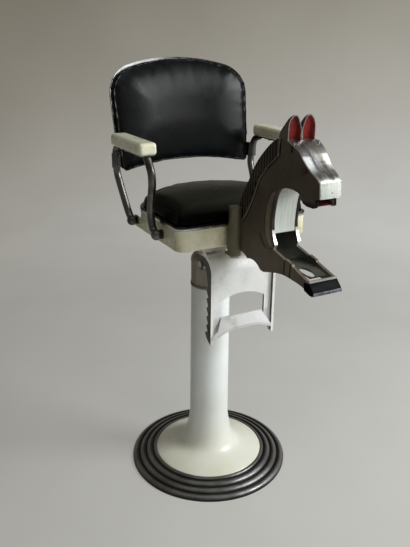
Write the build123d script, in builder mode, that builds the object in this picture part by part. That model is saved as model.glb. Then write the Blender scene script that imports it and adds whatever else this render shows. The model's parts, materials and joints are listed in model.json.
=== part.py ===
from build123d import *

import os
from math import radians, tan

os.makedirs("parts", exist_ok=True)

# Fits and clearances, in millimetres
running_fit = 0.05
press_fit = 0.02
seat_gap = 0.3
side_gap = 0.6
overrun = 5.0
half_turn = 180.0

# Base disc: a cast plate with four rounded rings that step up to a rim
base_radius = 225.0
base_edge = 5.0
ring_count = 4
ring_pitch = 20.0
ring_rise = 6.0
ring_bulge_share = 0.25
rim_radius = 155.0
rim_height = 28.0
base_floor = 16.0

# Bolts that hold the column's foot from below
base_bolt_circle_radius = 137.0
base_bolt_count = 6
base_bolt_radius = 5.0
base_bolt_flats = 17.0
base_bolt_head = 8.0
base_bolt_recess = 11.0
base_bolt_sunk = 9.0
base_bolt_reach = 11.0
foot_boss_radius = 12.0
foot_boss_height = 12.0

# Column: foot and column are one enamelled casting
column_top = 545.0
column_top_radius = 52.6
column_low_radius = 55.2
column_low_height = 97.0
foot_edge = 11.0
dome_radius = 90.0
dome_height = 45.0
dome_bulge = 3.0
column_wall = 7.0
column_cap = 15.0
bush_boss_radius = 32.0

# Swivel bearing and head
bush_length = 105.0
bush_radius = 24.0
bush_flange_radius = 34.0
bush_flange = 3.0
collar_radius = 54.2
collar_bore = 36.0
collar_height = 6.0
collar_groove = 1.0
washer_radius = 50.0
washer_bore = 37.0
washer_thickness = 2.0
spindle_radius = 18.0
spindle_tail = 10.0
spindle_neck_radius = 14.0
spindle_neck = 26.0
stud_radius = 12.0
stud_length = 24.0
spindle_nut_flats = 44.0
spindle_nut_height = 14.0
head_radius = 52.6
head_side = 56.0
shoulder_rise = 24.0
head_neck_radius = 40.0
head_neck = 13.0
flare_rise = 40.0
flare_radius = 92.0
flare_edge = 10.0
nut_recess_radius = 32.0
nut_recess_depth = 64.0
shoulder_shares = (0.78, 0.7)
flare_shares = (0.29, 0.65)

# Plate and bolts between the head and the seat pan
mount_half_width = 95.0
mount_front = 112.0
mount_rear = 95.0
mount_thickness = 10.0
mount_corner = 14.0
mount_bolt_circle_radius = 75.0
mount_bolt_count = 4
pan_bolt_radius = 5.0
pan_bolt_flats = 16.0
pan_bolt_head = 7.0
mount_bolt_grip = 8.0
hanger_bolt_grip = 16.0

# Hanger bar that carries the footrest
hanger_front = 108.0
hanger_depth = 15.4
hanger_thickness = 11.7
hanger_spacer_radius = 9.0
hanger_spacer_height = 8.0
hanger_bolt_x = 60.0
hanger_ear_thickness = 8.0
hanger_ear_radius = 12.0
pivot_ahead = 10.0
pivot_radius = 5.0
pivot_head_radius = 8.0
pivot_head = 3.0

# Seat pan, board, chrome ring and cushion
seat_half_width = 180.0
seat_front = 171.0
seat_side_end = 30.0
seat_rear = 115.0
seat_corner = 22.0
pan_height = 52.0
pan_wall = 4.0
pan_round = 6.0
ledge_rise = 36.0
ledge_height = 8.0
ledge_width = 8.0
board_thickness = 12.0
board_inset = 5.0
trim_height = 10.0
trim_proud = 1.5
trim_inner = 9.0
cushion_base_inset = 9.6
cushion_inset = 3.0
cushion_rise = 44.0
cushion_low_round = 5.0
cushion_top_round = 12.0
crown_radius = 1204.0
crown_forward = 60.0
lug_front = 20.0
lug_back = 106.0
lug_thickness = 8.0
lug_height = 29.0
lug_round = 14.0

# Posts and their ball nuts
post_radius = 9.3
ball_radius = 13.0
ball_out = 15.0
ball_flange_radius = 12.0
ball_flange = 4.0
ball_stud_radius = 5.0
ball_stud = 10.0
front_ball_y = -84.0
front_ball_rise = 25.0
rear_ball_y = 68.0
rear_ball_rise = 23.0
post_rise = 181.0
post_splay = 14.0
bend_share = 0.45
front_post_shares = ((0.0, 0.0), (0.11, 0.066), (0.133, 0.238), (0.072, 0.448), (-0.022, 0.68), (-0.033, 0.834),
                     (0.09, 1.03))
rear_post_shares = ((0.0, 0.0), (0.11, 0.1), (0.204, 0.254), (0.304, 0.431), (0.403, 0.608), (0.381, 0.785),
                    (0.343, 0.967), (0.149, 1.03))

# Armrests, their straps and screws
arm_out = 28.5
arm_width = 45.0
arm_height = 30.0
arm_front = 80.0
arm_back = 108.0
arm_round = 9.0
strap_width = 18.0
strap_thickness = 5.0
strap_inset = 4.0
strap_round = 6.0
arm_screw_radius = 2.5
arm_screw_head_radius = 5.0
arm_screw_head = 3.0
arm_screw_grip = 18.0
arm_screw_shares = (0.35, 0.7)

# Back, drawn in a plane that leans back: pad, shell, bead and brackets
back_lean = 10.0
back_foot_y = 161.0
back_foot_z = 838.0
back_low_out = 12.0
back_wide_out = 20.0
back_wide_height = 191.0
back_height = 288.0
back_top_radius = 480.0
back_top_corner = 80.0
back_low_corner = 12.0
back_arch = 24.0
back_plan_radius = 617.0
pad_front = 10.0
pad_crown = 12.0
pad_rear = 12.0
pad_round = 10.0
shell_thickness = 3.0
shell_inset = 3.0
bead_proud = 1.8
bead_depth = 5.0
bead_from = 56.0
brace_low = 17.0
brace_height = 36.0
brace_wall = 2.0
brace_thickness = 14.0
brace_reach = 24.0

# Hinge of the horse's head on the front of the seat pan
hinge_plate_right = 50.0
hinge_plate_left = 60.0
hinge_plate_thickness = 4.0
hinge_plate_drop = 15.3
hinge_plate_rise = 50.0
hinge_ear_thickness = 6.0
hinge_ear_radius = 15.0
hinge_x = -42.0
hinge_ahead = 20.0
hinge_pin_radius = 8.0
hinge_pin_head_radius = 11.0
hinge_pin_head = 5.7
barrel_radius = 15.5
barrel_height = 111.0
barrel_cap = 8.0
rest_inner = 27.0
rest_outer = 46.0
rest_rise = 9.0
rest_height = 75.0
rest_pad_thickness = 5.0
hinge_screw_radius = 3.0
hinge_screw_head_radius = 5.5
hinge_screw_head = 3.0
hinge_screw_inner = 8.0
hinge_screw_outer = 54.0
hinge_screw_low = 16.0
hinge_screw_pitch = 15.0

# Footrest: one casting with two toothed side rims, a web with an arched window, and a bar
rim_outer_half = 93.0
rim_thickness = 7.0
crown_radius_outer = 40.0
crown_drop = 16.0
rest_ahead = 54.0
rim_depth = 23.0
rim_tip_drop = 197.0
rim_heel_rise = 25.0
heel_depth = 29.0
rest_lug_radius = 15.0
stop_back = 18.0
tooth_count = 5
tooth_pitch = 23.5
tooth_depth = 8.5
tooth_lower_share = 0.67
tooth_from = 167.5
web_recess = 8.0
web_thickness = 6.0
web_rear = 12.0
web_bottom_drop = 164.0
notch_reach = 16.5
web_bottom_half = 56.0
web_tip_drop = 196.0
window_half_width = 66.0
window_top_drop = 74.0
window_spring_drop = 92.0
window_bottom_drop = 134.0
window_bottom_half = 44.0
window_bottom_fall = 10.0
window_corner = 6.0
bar_lip_reach = 18.0
bar_lip_height = 7.0
bar_slope_drop = 22.0
bar_half_width = 60.0

# Side plates of the horse's head, cut to one outline
horse_gap = 25.0
horse_drop = 6.0
horse_length = 290.0
horse_height = 280.0
plate_outer = 34.0
plate_thickness = 7.0
muzzle_outer = 25.0
muzzle_bend_share = 0.669
muzzle_end_share = 0.945
hoof_outer = 36.0
hoof_bend_share = 0.52
split_share = 0.375
weld_tab = 5.0
rear_shares = ((0.0, 0.014), (0.0, 0.405))
mane_shares = ((0.0, 0.405), (0.043, 0.51), (0.112, 0.618), (0.168, 0.715), (0.267, 0.841), (0.346, 0.916),
               (0.43, 0.98), (0.52, 1.015), (0.597, 1.0))
face_shares = ((0.597, 1.0), (0.65, 0.983), (0.7, 0.957), (0.747, 0.916), (0.79, 0.872), (0.855, 0.821), (0.905, 0.79),
               (0.936, 0.757))
muzzle_shares = ((0.936, 0.757), (0.945, 0.655), (0.905, 0.642), (0.911, 0.591), (0.892, 0.58), (0.83, 0.582),
                 (0.794, 0.595), (0.768, 0.622), (0.755, 0.65))
throat_shares = ((0.755, 0.65), (0.72, 0.668), (0.67, 0.673), (0.61, 0.668), (0.55, 0.65), (0.513, 0.62), (0.485, 0.56),
                 (0.466, 0.47), (0.456, 0.37), (0.47, 0.285), (0.51, 0.206))
leg_shares = ((0.51, 0.206), (0.488, 0.163), (0.645, 0.127), (0.65, 0.138), (0.731, 0.119), (0.741, 0.105),
              (0.941, 0.05), (1.0, -0.025), (0.955, -0.032))
belly_shares = ((0.955, -0.032), (0.876, -0.007), (0.745, 0.004), (0.631, 0.004), (0.503, -0.021), (0.369, -0.061))
scallop_shares = (((0.324, -0.057), (0.228, -0.009), (0.138, -0.021)), ((0.138, -0.021), (0.076, 0.006), (0.0, 0.014)))

# Relief on the side plates
mane_line_shares = ((0.497, 1.01), (0.493, 0.882), (0.293, 0.729), (0.124, 0.407), (0.031, 0.254))
mane_line_width = 3.0
relief_height = 1.2
rib_shares = ((0.462, 0.611), (0.421, 0.539), (0.379, 0.429), (0.366, 0.343), (0.383, 0.275), (0.448, 0.189))
rib_width = 7.0
seam_line_shares = ((0.303, 0.236), (0.383, 0.15), (0.428, 0.15), (0.47, 0.165))
seam_width = 1.8
groove_depth = 1.5
groove_width = 3.6
groove_count = 13
groove_border = 5.0
groove_lean = 8.0
groove_shares = (0.05, 0.47)
leg_seam_shares = (0.641, 0.714)

# Sheets, rods and the smaller pieces of the head
sheet = 3.0
neck_sheet = 4.0
chest_shares = ((0.75, 0.66), (0.72, 0.675), (0.67, 0.68), (0.61, 0.675), (0.546, 0.657), (0.506, 0.624), (0.478, 0.562),
                (0.459, 0.47), (0.449, 0.37), (0.458, 0.28))
rod_radius = 6.0
rod_shares = ((0.14, 0.25), (0.2, 0.5), (0.42, 0.8), (0.72, 0.8))
floor_shares = ((0.5, 0.06), (0.64, 0.075), (0.883, 0.055))
floor_hole_length = 44.0
floor_hole_width = 22.0
floor_hole_share = 0.8
floor_hole_x = 10.0
ear_centre = 17.0
ear_half = 16.5
ear_height = 52.0
ear_depth = 34.0
ear_leaf_shares = ((1.0, -0.2), (1.0, 0.46), (0.64, 0.865), (0.05, 1.0), (-0.55, 0.846), (-0.9, 0.54), (-1.0, 0.1),
                   (-1.0, -0.2))
ear_side_shares = ((0.0, 1.0), (0.45, 0.84), (0.75, 0.5), (1.0, -0.2))
ear_front_share = 0.614
ear_rim = 1.8
ear_hollow = 9.0
ear_floor_inset = 8.0
eye_radius = 6.5
eye_length = 9.0
eye_share = (0.793, 0.829)
face_screw_radius = 2.6
face_screw_length = 20.0
face_screw_proud = 1.2
face_screw_share = 0.655
mouth_shares = ((0.905, 0.594), (0.79, 0.6), (0.79, 0.65))
hoof_shares = ((0.883, 0.036), (0.945, 0.046), (0.993, 0.0), (1.003, -0.029), (0.962, -0.043), (0.893, -0.025))
hoof_strip_shares = ((0.997, -0.012), (1.003, -0.029), (0.972, -0.04))
hoof_strip_thickness = 1.5
lip_depth = 4.0
lip_height = 3.5
lip_share = 0.945

# Heights that follow from the sizes above
washer_z = column_top + collar_height
head_z = washer_z + washer_thickness
shoulder_z = head_z + head_side
neck_z = shoulder_z + shoulder_rise
flare_z = neck_z + head_neck
flare_top_z = flare_z + flare_rise
head_top_z = flare_top_z + flare_edge
nut_z = head_top_z - nut_recess_depth
pan_z = head_top_z + mount_thickness
pan_floor_z = pan_z + pan_wall
ledge_z = pan_z + ledge_rise
pan_top_z = pan_z + pan_height
trim_top_z = pan_top_z + trim_height
cushion_base_z = ledge_z + board_thickness + seat_gap
cushion_z = trim_top_z + seat_gap
cushion_top_z = cushion_z + cushion_rise
strap_z = pan_z + front_ball_rise + post_rise
arm_z = strap_z + strap_thickness
arm_centre = seat_half_width + arm_out
arm_length = arm_front + arm_back
arm_middle_y = (arm_back - arm_front) / 2
hanger_top_z = head_top_z - hanger_spacer_height
hanger_z = hanger_top_z - hanger_thickness
back_low_half = seat_half_width + back_low_out
back_wide_half = seat_half_width + back_wide_out
web_half = rim_outer_half - rim_thickness
hanger_half_width = web_half - side_gap
hanger_ear_x = hanger_half_width - hanger_ear_thickness
hanger_bolt_y = hanger_front - hanger_depth / 2
pivot_y = -hanger_front - pivot_ahead
pivot_z = hanger_z - seat_gap - crown_radius_outer + crown_drop
ball_x = seat_half_width + ball_out
front_ball_z = pan_z + front_ball_rise
rear_ball_z = pan_z + rear_ball_rise
hinge_screw_places = [(x, pan_z + hinge_screw_low + row * hinge_screw_pitch)
                      for x in (hinge_screw_inner, hinge_screw_outer) for row in (0, 1)]


def hexagon(flats):
    """Hexagon measured across its flats."""
    return RegularPolygon(flats / 2, 6, major_radius=False)


def base_bolt_circles(radius):
    """Circles at the places of the bolts in the column's foot."""
    with BuildSketch() as circles:
        with PolarLocations(base_bolt_circle_radius, base_bolt_count):
            Circle(radius)
    return circles.sketch


# The base disc, with recesses for the bolt heads underneath
with BuildPart() as base_plate:
    with BuildSketch(Plane.XZ):
        with BuildLine():
            Polyline((rim_radius, base_floor), (0, base_floor), (0, 0), (base_radius, 0), (base_radius, base_edge))
            for ring in range(ring_count):
                outer = base_radius - ring * ring_pitch
                low = base_edge + ring * ring_rise
                last = ring == ring_count - 1
                inner = rim_radius if last else outer - ring_pitch
                high = rim_height if last else low + ring_rise
                crest = (low + high) / 2 + ring_bulge_share * (outer - inner)
                ThreePointArc((outer, low), ((outer + inner) / 2, crest), (inner, high))
            Line((rim_radius, rim_height), (rim_radius, base_floor))
        make_face()
    revolve(axis=Axis.Z)
    with BuildSketch():
        add(base_bolt_circles(base_bolt_recess))
    extrude(amount=base_bolt_sunk, mode=Mode.SUBTRACT)
    with BuildSketch():
        add(base_bolt_circles(base_bolt_radius + running_fit))
    extrude(amount=base_floor, mode=Mode.SUBTRACT)

# Foot dome and column in one hollow casting, with a boss for the bush and bosses for the bolts
column_foot_radius = rim_radius - seat_gap
with BuildPart() as column:
    with BuildSketch(Plane.XZ):
        with BuildLine():
            foot_top = (column_foot_radius, base_floor + foot_edge)
            dome_top = (dome_radius, dome_height)
            dome_middle = ((foot_top[0] + dome_top[0]) / 2, (foot_top[1] + dome_top[1]) / 2 + dome_bulge)
            Line((column_foot_radius, base_floor), foot_top)
            ThreePointArc(foot_top, dome_middle, dome_top)
            TangentArc((column_low_radius, column_low_height), dome_top, tangent=(0, -1))
            Polyline((column_low_radius, column_low_height), (column_top_radius, column_top),
                     (bush_radius + press_fit, column_top), (bush_radius + press_fit, column_top - bush_length),
                     (bush_boss_radius, column_top - bush_length), (bush_boss_radius, column_top - column_cap),
                     (column_top_radius - column_wall, column_top - column_cap),
                     (column_low_radius - column_wall, column_low_height))
            inner_dome = (dome_radius - column_wall / 2, dome_height - column_wall)
            TangentArc((column_low_radius - column_wall, column_low_height), inner_dome, tangent=(0, -1))
            Polyline(inner_dome, (column_foot_radius - column_wall, base_floor + foot_edge - column_wall),
                     (column_foot_radius - column_wall, base_floor), (column_foot_radius, base_floor))
        make_face()
    revolve(axis=Axis.Z)
    with BuildSketch(Plane.XY.offset(base_floor)):
        add(base_bolt_circles(foot_boss_radius))
    extrude(amount=foot_boss_height)
    with BuildSketch(Plane.XY.offset(base_floor)):
        add(base_bolt_circles(base_bolt_radius + running_fit))
    extrude(amount=base_bolt_reach + seat_gap, mode=Mode.SUBTRACT)

# Hexagon bolts, let in from below
with BuildPart() as base_bolts:
    with BuildSketch(Plane.XY.offset(base_bolt_sunk - base_bolt_head)):
        with PolarLocations(base_bolt_circle_radius, base_bolt_count):
            hexagon(base_bolt_flats)
    extrude(amount=base_bolt_head)
    with BuildSketch(Plane.XY.offset(base_bolt_sunk)):
        add(base_bolt_circles(base_bolt_radius))
    extrude(amount=base_floor - base_bolt_sunk + base_bolt_reach)

# Flanged bronze bush in the column's top
with BuildPart() as swivel_bush:
    with BuildSketch(Plane.XY.offset(column_top - bush_length)):
        Circle(bush_radius)
    extrude(amount=bush_length)
    with BuildSketch(Plane.XY.offset(column_top)):
        Circle(bush_flange_radius)
    extrude(amount=bush_flange)
    with BuildSketch(Plane.XY.offset(column_top - bush_length)):
        Circle(spindle_radius + running_fit)
    extrude(amount=bush_length + bush_flange, mode=Mode.SUBTRACT)

# Ring on the column's top, with a turned groove that shows as a double line
with BuildPart() as swivel_collar:
    with BuildSketch(Plane.XZ):
        with Locations((collar_bore, column_top)):
            Rectangle(collar_radius - collar_bore, collar_height, align=(Align.MIN, Align.MIN))
        with Locations((collar_radius, column_top + collar_height / 2)):
            Rectangle(2 * collar_groove, collar_height / 3, mode=Mode.SUBTRACT)
    revolve(axis=Axis.Z)

# Washer that the swivel head turns on
with BuildPart() as thrust_washer:
    with BuildSketch(Plane.XY.offset(washer_z)):
        Circle(washer_radius)
        Circle(washer_bore, mode=Mode.SUBTRACT)
    extrude(amount=washer_thickness)


def mount_bolt_circles(radius):
    """Circles at the places of the bolts between the seat pan and the swivel head."""
    with BuildSketch() as circles:
        with PolarLocations(mount_bolt_circle_radius, mount_bolt_count, start_angle=half_turn / mount_bolt_count):
            Circle(radius)
    return circles.sketch


def hanger_bolt_circles(radius):
    """Circles at the places of the bolts between the seat pan and the hanger bar."""
    with BuildSketch() as circles:
        with Locations((-hanger_bolt_x, -hanger_bolt_y), (hanger_bolt_x, -hanger_bolt_y)):
            Circle(radius)
    return circles.sketch


# Swivel head: a socket with a waist and a flare under the seat
with BuildPart() as swivel_head:
    with BuildSketch(Plane.XZ):
        with BuildLine():
            shoulder_middle = (head_neck_radius + shoulder_shares[0] * (head_radius - head_neck_radius),
                               shoulder_z + shoulder_shares[1] * shoulder_rise)
            flare_middle = (head_neck_radius + flare_shares[0] * (flare_radius - head_neck_radius),
                            flare_z + flare_shares[1] * flare_rise)
            Polyline((spindle_radius + press_fit, head_z), (head_radius, head_z), (head_radius, shoulder_z))
            ThreePointArc((head_radius, shoulder_z), shoulder_middle, (head_neck_radius, neck_z))
            Line((head_neck_radius, neck_z), (head_neck_radius, flare_z))
            ThreePointArc((head_neck_radius, flare_z), flare_middle, (flare_radius, flare_top_z))
            Polyline((flare_radius, flare_top_z), (flare_radius, head_top_z), (nut_recess_radius, head_top_z),
                     (nut_recess_radius, nut_z), (spindle_neck_radius + press_fit, nut_z),
                     (spindle_neck_radius + press_fit, nut_z - spindle_neck),
                     (spindle_radius + press_fit, nut_z - spindle_neck), (spindle_radius + press_fit, head_z))
        make_face()
    revolve(axis=Axis.Z)
    with BuildSketch(Plane.XY.offset(head_top_z)):
        add(mount_bolt_circles(pan_bolt_radius + press_fit))
    extrude(amount=-mount_bolt_grip - seat_gap, mode=Mode.SUBTRACT)

# Spindle with a neck and a threaded stud, and its nut in the head's recess
with BuildPart() as spindle:
    with BuildSketch(Plane.XY.offset(column_top - bush_length - spindle_tail)):
        Circle(spindle_radius)
    extrude(amount=nut_z - spindle_neck - column_top + bush_length + spindle_tail)
    with BuildSketch(Plane.XY.offset(nut_z - spindle_neck)):
        Circle(spindle_neck_radius)
    extrude(amount=spindle_neck)
    with BuildSketch(Plane.XY.offset(nut_z)):
        Circle(stud_radius)
    extrude(amount=stud_length)

with BuildPart() as spindle_nut:
    with BuildSketch(Plane.XY.offset(nut_z)):
        hexagon(spindle_nut_flats)
        Circle(stud_radius + press_fit, mode=Mode.SUBTRACT)
    extrude(amount=spindle_nut_height)

# Plate between the head and the pan
with BuildPart() as mount_plate:
    with BuildSketch(Plane.XY.offset(head_top_z)):
        with Locations((0, (mount_rear - mount_front) / 2)):
            RectangleRounded(2 * mount_half_width, mount_front + mount_rear, mount_corner)
        add(mount_bolt_circles(pan_bolt_radius + press_fit), mode=Mode.SUBTRACT)
        add(hanger_bolt_circles(pan_bolt_radius + press_fit), mode=Mode.SUBTRACT)
    extrude(amount=mount_thickness)

# Bolts through the pan's floor into the swivel head
with BuildPart() as mount_bolts:
    with BuildSketch(Plane.XY.offset(pan_floor_z)):
        with PolarLocations(mount_bolt_circle_radius, mount_bolt_count, start_angle=half_turn / mount_bolt_count):
            hexagon(pan_bolt_flats)
    extrude(amount=pan_bolt_head)
    with BuildSketch(Plane.XY.offset(pan_floor_z)):
        add(mount_bolt_circles(pan_bolt_radius))
    extrude(amount=-pan_wall - mount_thickness - mount_bolt_grip)

# Bolts through the pan's floor and the spacers into the hanger bar
with BuildPart() as hanger_bolts:
    with BuildSketch(Plane.XY.offset(pan_floor_z)):
        with Locations((-hanger_bolt_x, -hanger_bolt_y), (hanger_bolt_x, -hanger_bolt_y)):
            hexagon(pan_bolt_flats)
    extrude(amount=pan_bolt_head)
    with BuildSketch(Plane.XY.offset(pan_floor_z)):
        add(hanger_bolt_circles(pan_bolt_radius))
    extrude(amount=hanger_top_z - hanger_bolt_grip - pan_floor_z)

# Hanger bar with two spacers and an ear inside each rim of the footrest
with BuildPart() as hanger_bar:
    with BuildSketch(Plane.XY.offset(hanger_z)):
        with Locations((0, -hanger_front)):
            Rectangle(2 * hanger_half_width, hanger_depth, align=(Align.CENTER, Align.MIN))
    extrude(amount=hanger_thickness)
    with BuildSketch(Plane.XY.offset(hanger_top_z)):
        add(hanger_bolt_circles(hanger_spacer_radius))
    extrude(amount=hanger_spacer_height)
    for ear_x in (-hanger_half_width, hanger_ear_x):
        with BuildSketch(Plane.YZ.offset(ear_x)):
            with Locations((pivot_y, pivot_z)):
                Circle(hanger_ear_radius)
            with Locations((-hanger_front, hanger_z)):
                Rectangle(hanger_depth, hanger_thickness, align=(Align.MIN, Align.MIN))
            make_hull()
            with Locations((pivot_y, pivot_z)):
                Circle(pivot_radius + press_fit, mode=Mode.SUBTRACT)
        extrude(amount=hanger_ear_thickness)
    with BuildSketch(Plane.XY.offset(hanger_z)):
        add(hanger_bolt_circles(pan_bolt_radius + press_fit))
    extrude(amount=hanger_thickness + hanger_spacer_height, mode=Mode.SUBTRACT)

# Shoulder rivets that the footrest hangs on
rivet_outer_x = rim_outer_half + seat_gap
with BuildPart() as footrest_pivots:
    for side in (1, -1):
        with BuildSketch(Plane.YZ.offset(side * (hanger_ear_x - pivot_head))):
            with Locations((pivot_y, pivot_z)):
                Circle(pivot_head_radius)
        extrude(amount=side * pivot_head)
        with BuildSketch(Plane.YZ.offset(side * hanger_ear_x)):
            with Locations((pivot_y, pivot_z)):
                Circle(pivot_radius)
        extrude(amount=side * (rivet_outer_x - hanger_ear_x))
        with BuildSketch(Plane.YZ.offset(side * rivet_outer_x)):
            with Locations((pivot_y, pivot_z)):
                Circle(pivot_head_radius)
        extrude(amount=side * pivot_head)


def seat_outline(inset):
    """Plan of the seat, drawn in from the pan's outline: square front, rounded rear."""
    half = seat_half_width - inset
    with BuildSketch() as outline:
        with BuildLine():
            EllipticalCenterArc((0, seat_side_end), half, seat_rear - inset, 0, arc_size=half_turn)
            Polyline((-half, seat_side_end), (-half, inset - seat_front), (half, inset - seat_front),
                     (half, seat_side_end))
        make_face()
        fillet(outline.vertices().group_by(Axis.Y)[0], seat_corner - inset)
    return outline.sketch


def ball_places(side):
    """Centres of the front and the rear ball nut on one side."""
    return (side * ball_x, front_ball_y, front_ball_z), (side * ball_x, rear_ball_y, rear_ball_z)


# Pressed pan with a ledge for the board and a lug on each side for the rear post
with BuildPart() as seat_pan:
    with BuildSketch(Plane.XY.offset(pan_z)):
        add(seat_outline(0))
    extrude(amount=pan_height)
    fillet(seat_pan.faces().sort_by(Axis.Z)[0].edges(), pan_round)
    for lug_x in (-seat_half_width, seat_half_width - lug_thickness):
        with BuildSketch(Plane.YZ.offset(lug_x)) as lug:
            with Locations((-lug_front, pan_z + pan_wall)):
                Rectangle(lug_front + lug_back, lug_height - pan_wall, align=(Align.MIN, Align.MIN))
            fillet(lug.vertices().group_by(Axis.X)[-1], (lug_height - pan_wall) / 2 - seat_gap)
        extrude(amount=lug_thickness)
    for inset, low, high in ((pan_wall, pan_floor_z, ledge_z - ledge_height),
                             (pan_wall + ledge_width, ledge_z - ledge_height, ledge_z),
                             (pan_wall, ledge_z, pan_top_z)):
        with BuildSketch(Plane.XY.offset(low)):
            add(seat_outline(inset))
        extrude(amount=high - low, mode=Mode.SUBTRACT)
    with BuildSketch(Plane.XY.offset(pan_z)):
        add(mount_bolt_circles(pan_bolt_radius + press_fit))
        add(hanger_bolt_circles(pan_bolt_radius + press_fit))
    extrude(amount=pan_wall, mode=Mode.SUBTRACT)
    for side in (1, -1):
        with BuildSketch(Plane.YZ.offset(side * seat_half_width)):
            with Locations(*(place[1:] for place in ball_places(side))):
                Circle(ball_stud_radius + press_fit)
        extrude(amount=-side * ball_stud, mode=Mode.SUBTRACT)
    with BuildSketch(Plane.XZ.offset(seat_front)):
        with Locations(*hinge_screw_places):
            Circle(hinge_screw_radius + press_fit)
    extrude(amount=-pan_wall, mode=Mode.SUBTRACT)

# Board on the ledge
with BuildPart() as seat_board:
    with BuildSketch(Plane.XY.offset(ledge_z)):
        add(seat_outline(board_inset))
    extrude(amount=board_thickness)

# Chrome ring on the pan's edge
with BuildPart() as seat_trim:
    with BuildSketch(Plane.XY.offset(pan_top_z)):
        add(seat_outline(-trim_proud))
        add(seat_outline(trim_inner), mode=Mode.SUBTRACT)
    extrude(amount=trim_height)
    fillet(seat_trim.faces().sort_by(Axis.Z)[-1].outer_wire().edges(), trim_height / 3)

# Cushion: a plug inside the ring and a crowned body over it
with BuildPart() as seat_cushion:
    with BuildSketch(Plane.XY.offset(cushion_z)):
        add(seat_outline(cushion_inset))
    extrude(amount=cushion_rise)
    with Locations((0, -crown_forward, cushion_top_z - crown_radius)):
        Sphere(crown_radius, mode=Mode.INTERSECT)
    fillet(seat_cushion.faces().sort_by(Axis.Z)[-1].edges(), cushion_top_round)
    fillet(seat_cushion.faces().sort_by(Axis.Z)[0].edges(), cushion_low_round)
    with BuildSketch(Plane.XY.offset(cushion_base_z)):
        add(seat_outline(cushion_base_inset))
    extrude(amount=cushion_z - cushion_base_z)

# Ball nuts, each turned with a flange on the pan and a stud through its wall
with BuildPart() as ball_nut:
    with BuildSketch():
        Rectangle(ball_stud, ball_stud_radius, align=(Align.MAX, Align.MIN))
        Rectangle(ball_flange, ball_flange_radius, align=(Align.MIN, Align.MIN))
        with BuildLine():
            CenterArc((ball_out, 0), ball_radius, 0, 180)
            Line((ball_out - ball_radius, 0), (ball_out + ball_radius, 0))
        make_face()
    revolve(axis=Axis.X)
with BuildPart() as post_bosses:
    for place in ball_places(1):
        with Locations((seat_half_width, place[1], place[2])):
            add(ball_nut.part)
    mirror(about=Plane.YZ)


def post_points(shares, foot):
    """Points of a post's path: it leaves its ball nut, sways in the side view and splays outward."""
    x, y, z = foot
    splay = post_splay if x > 0 else -post_splay
    return [(x + splay * up, y + back * post_rise, z + up * post_rise) for back, up in shares]


def post_tube(points, radius):
    """Bent round bar along a path of straight runs joined by tangent arcs."""
    corners = [Vector(*point) for point in points]
    radii = []
    for before, corner, after in zip(corners, corners[1:], corners[2:]):
        turn = (corner - before).get_angle(after - corner)
        run = min((corner - before).length, (after - corner).length)
        radii.append(bend_share * run / tan(radians(turn) / 2))
    with BuildPart() as tube:
        with BuildLine() as path:
            FilletPolyline(*corners, radius=radii)
        with BuildSketch(Plane(origin=path.line @ 0, z_dir=path.line % 0)):
            Circle(radius)
        sweep(path=path.line)
    return tube.part


def arm_outline(inset, width):
    """Plan of an armrest or its strap on the left side."""
    with BuildSketch() as outline:
        with Locations((arm_centre, arm_middle_y)):
            Rectangle(width, arm_length - 2 * inset)
    return outline.sketch


def post_part(shares, foot):
    """One post, cut to its ball nut below and to the armrest above."""
    with BuildPart() as post:
        add(post_tube(post_points(shares, foot), post_radius))
        with Locations(foot):
            Sphere(ball_radius, mode=Mode.SUBTRACT)
        with BuildSketch(Plane.XY.offset(strap_z)):
            add(arm_outline(0, arm_width))
            mirror(about=Plane.YZ)
        extrude(amount=arm_height, mode=Mode.SUBTRACT)
    return post.part


with BuildPart() as post_front_right:
    add(post_part(front_post_shares, ball_places(-1)[0]))
with BuildPart() as post_front_left:
    add(post_part(front_post_shares, ball_places(1)[0]))
with BuildPart() as post_rear_right:
    add(post_part(rear_post_shares, ball_places(-1)[1]))
with BuildPart() as post_rear_left:
    add(post_part(rear_post_shares, ball_places(1)[1]))

arm_screw_places = [(arm_centre, share * arm_length - arm_front) for share in arm_screw_shares]

# Armrests, each on a flat steel strap
with BuildPart() as armrest_left:
    with BuildSketch(Plane.XY.offset(arm_z)):
        add(arm_outline(0, arm_width))
    extrude(amount=arm_height)
    fillet(armrest_left.edges(), arm_round)
    with BuildSketch(Plane.XY.offset(arm_z)):
        with Locations(*arm_screw_places):
            Circle(arm_screw_radius + press_fit)
    extrude(amount=arm_screw_grip + seat_gap, mode=Mode.SUBTRACT)
with BuildPart() as armrest_right:
    mirror(armrest_left.part, about=Plane.YZ)

with BuildPart() as arm_strap_left:
    with BuildSketch(Plane.XY.offset(strap_z)) as strap:
        add(arm_outline(strap_inset, strap_width))
        fillet(strap.vertices(), strap_round)
        with Locations(*arm_screw_places):
            Circle(arm_screw_radius + press_fit, mode=Mode.SUBTRACT)
    extrude(amount=strap_thickness)
with BuildPart() as arm_strap_right:
    mirror(arm_strap_left.part, about=Plane.YZ)

with BuildPart() as arm_screws:
    with BuildSketch(Plane.XY.offset(strap_z)):
        with Locations(*arm_screw_places):
            Circle(arm_screw_head_radius)
    extrude(amount=-arm_screw_head)
    with BuildSketch(Plane.XY.offset(strap_z)):
        with Locations(*arm_screw_places):
            Circle(arm_screw_radius)
    extrude(amount=strap_thickness + arm_screw_grip)
    mirror(about=Plane.YZ)

# The back's own planes: its front view, and its plan, in which Y points backward
back_foot = Vector(0, back_foot_y, back_foot_z)
back_front = Plane(back_foot, x_dir=(1, 0, 0), z_dir=Vector(0, -1, 0).rotate(Axis.X, -back_lean))
back_plan = Plane(back_foot, x_dir=(1, 0, 0), z_dir=Vector(0, 0, 1).rotate(Axis.X, -back_lean))


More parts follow.
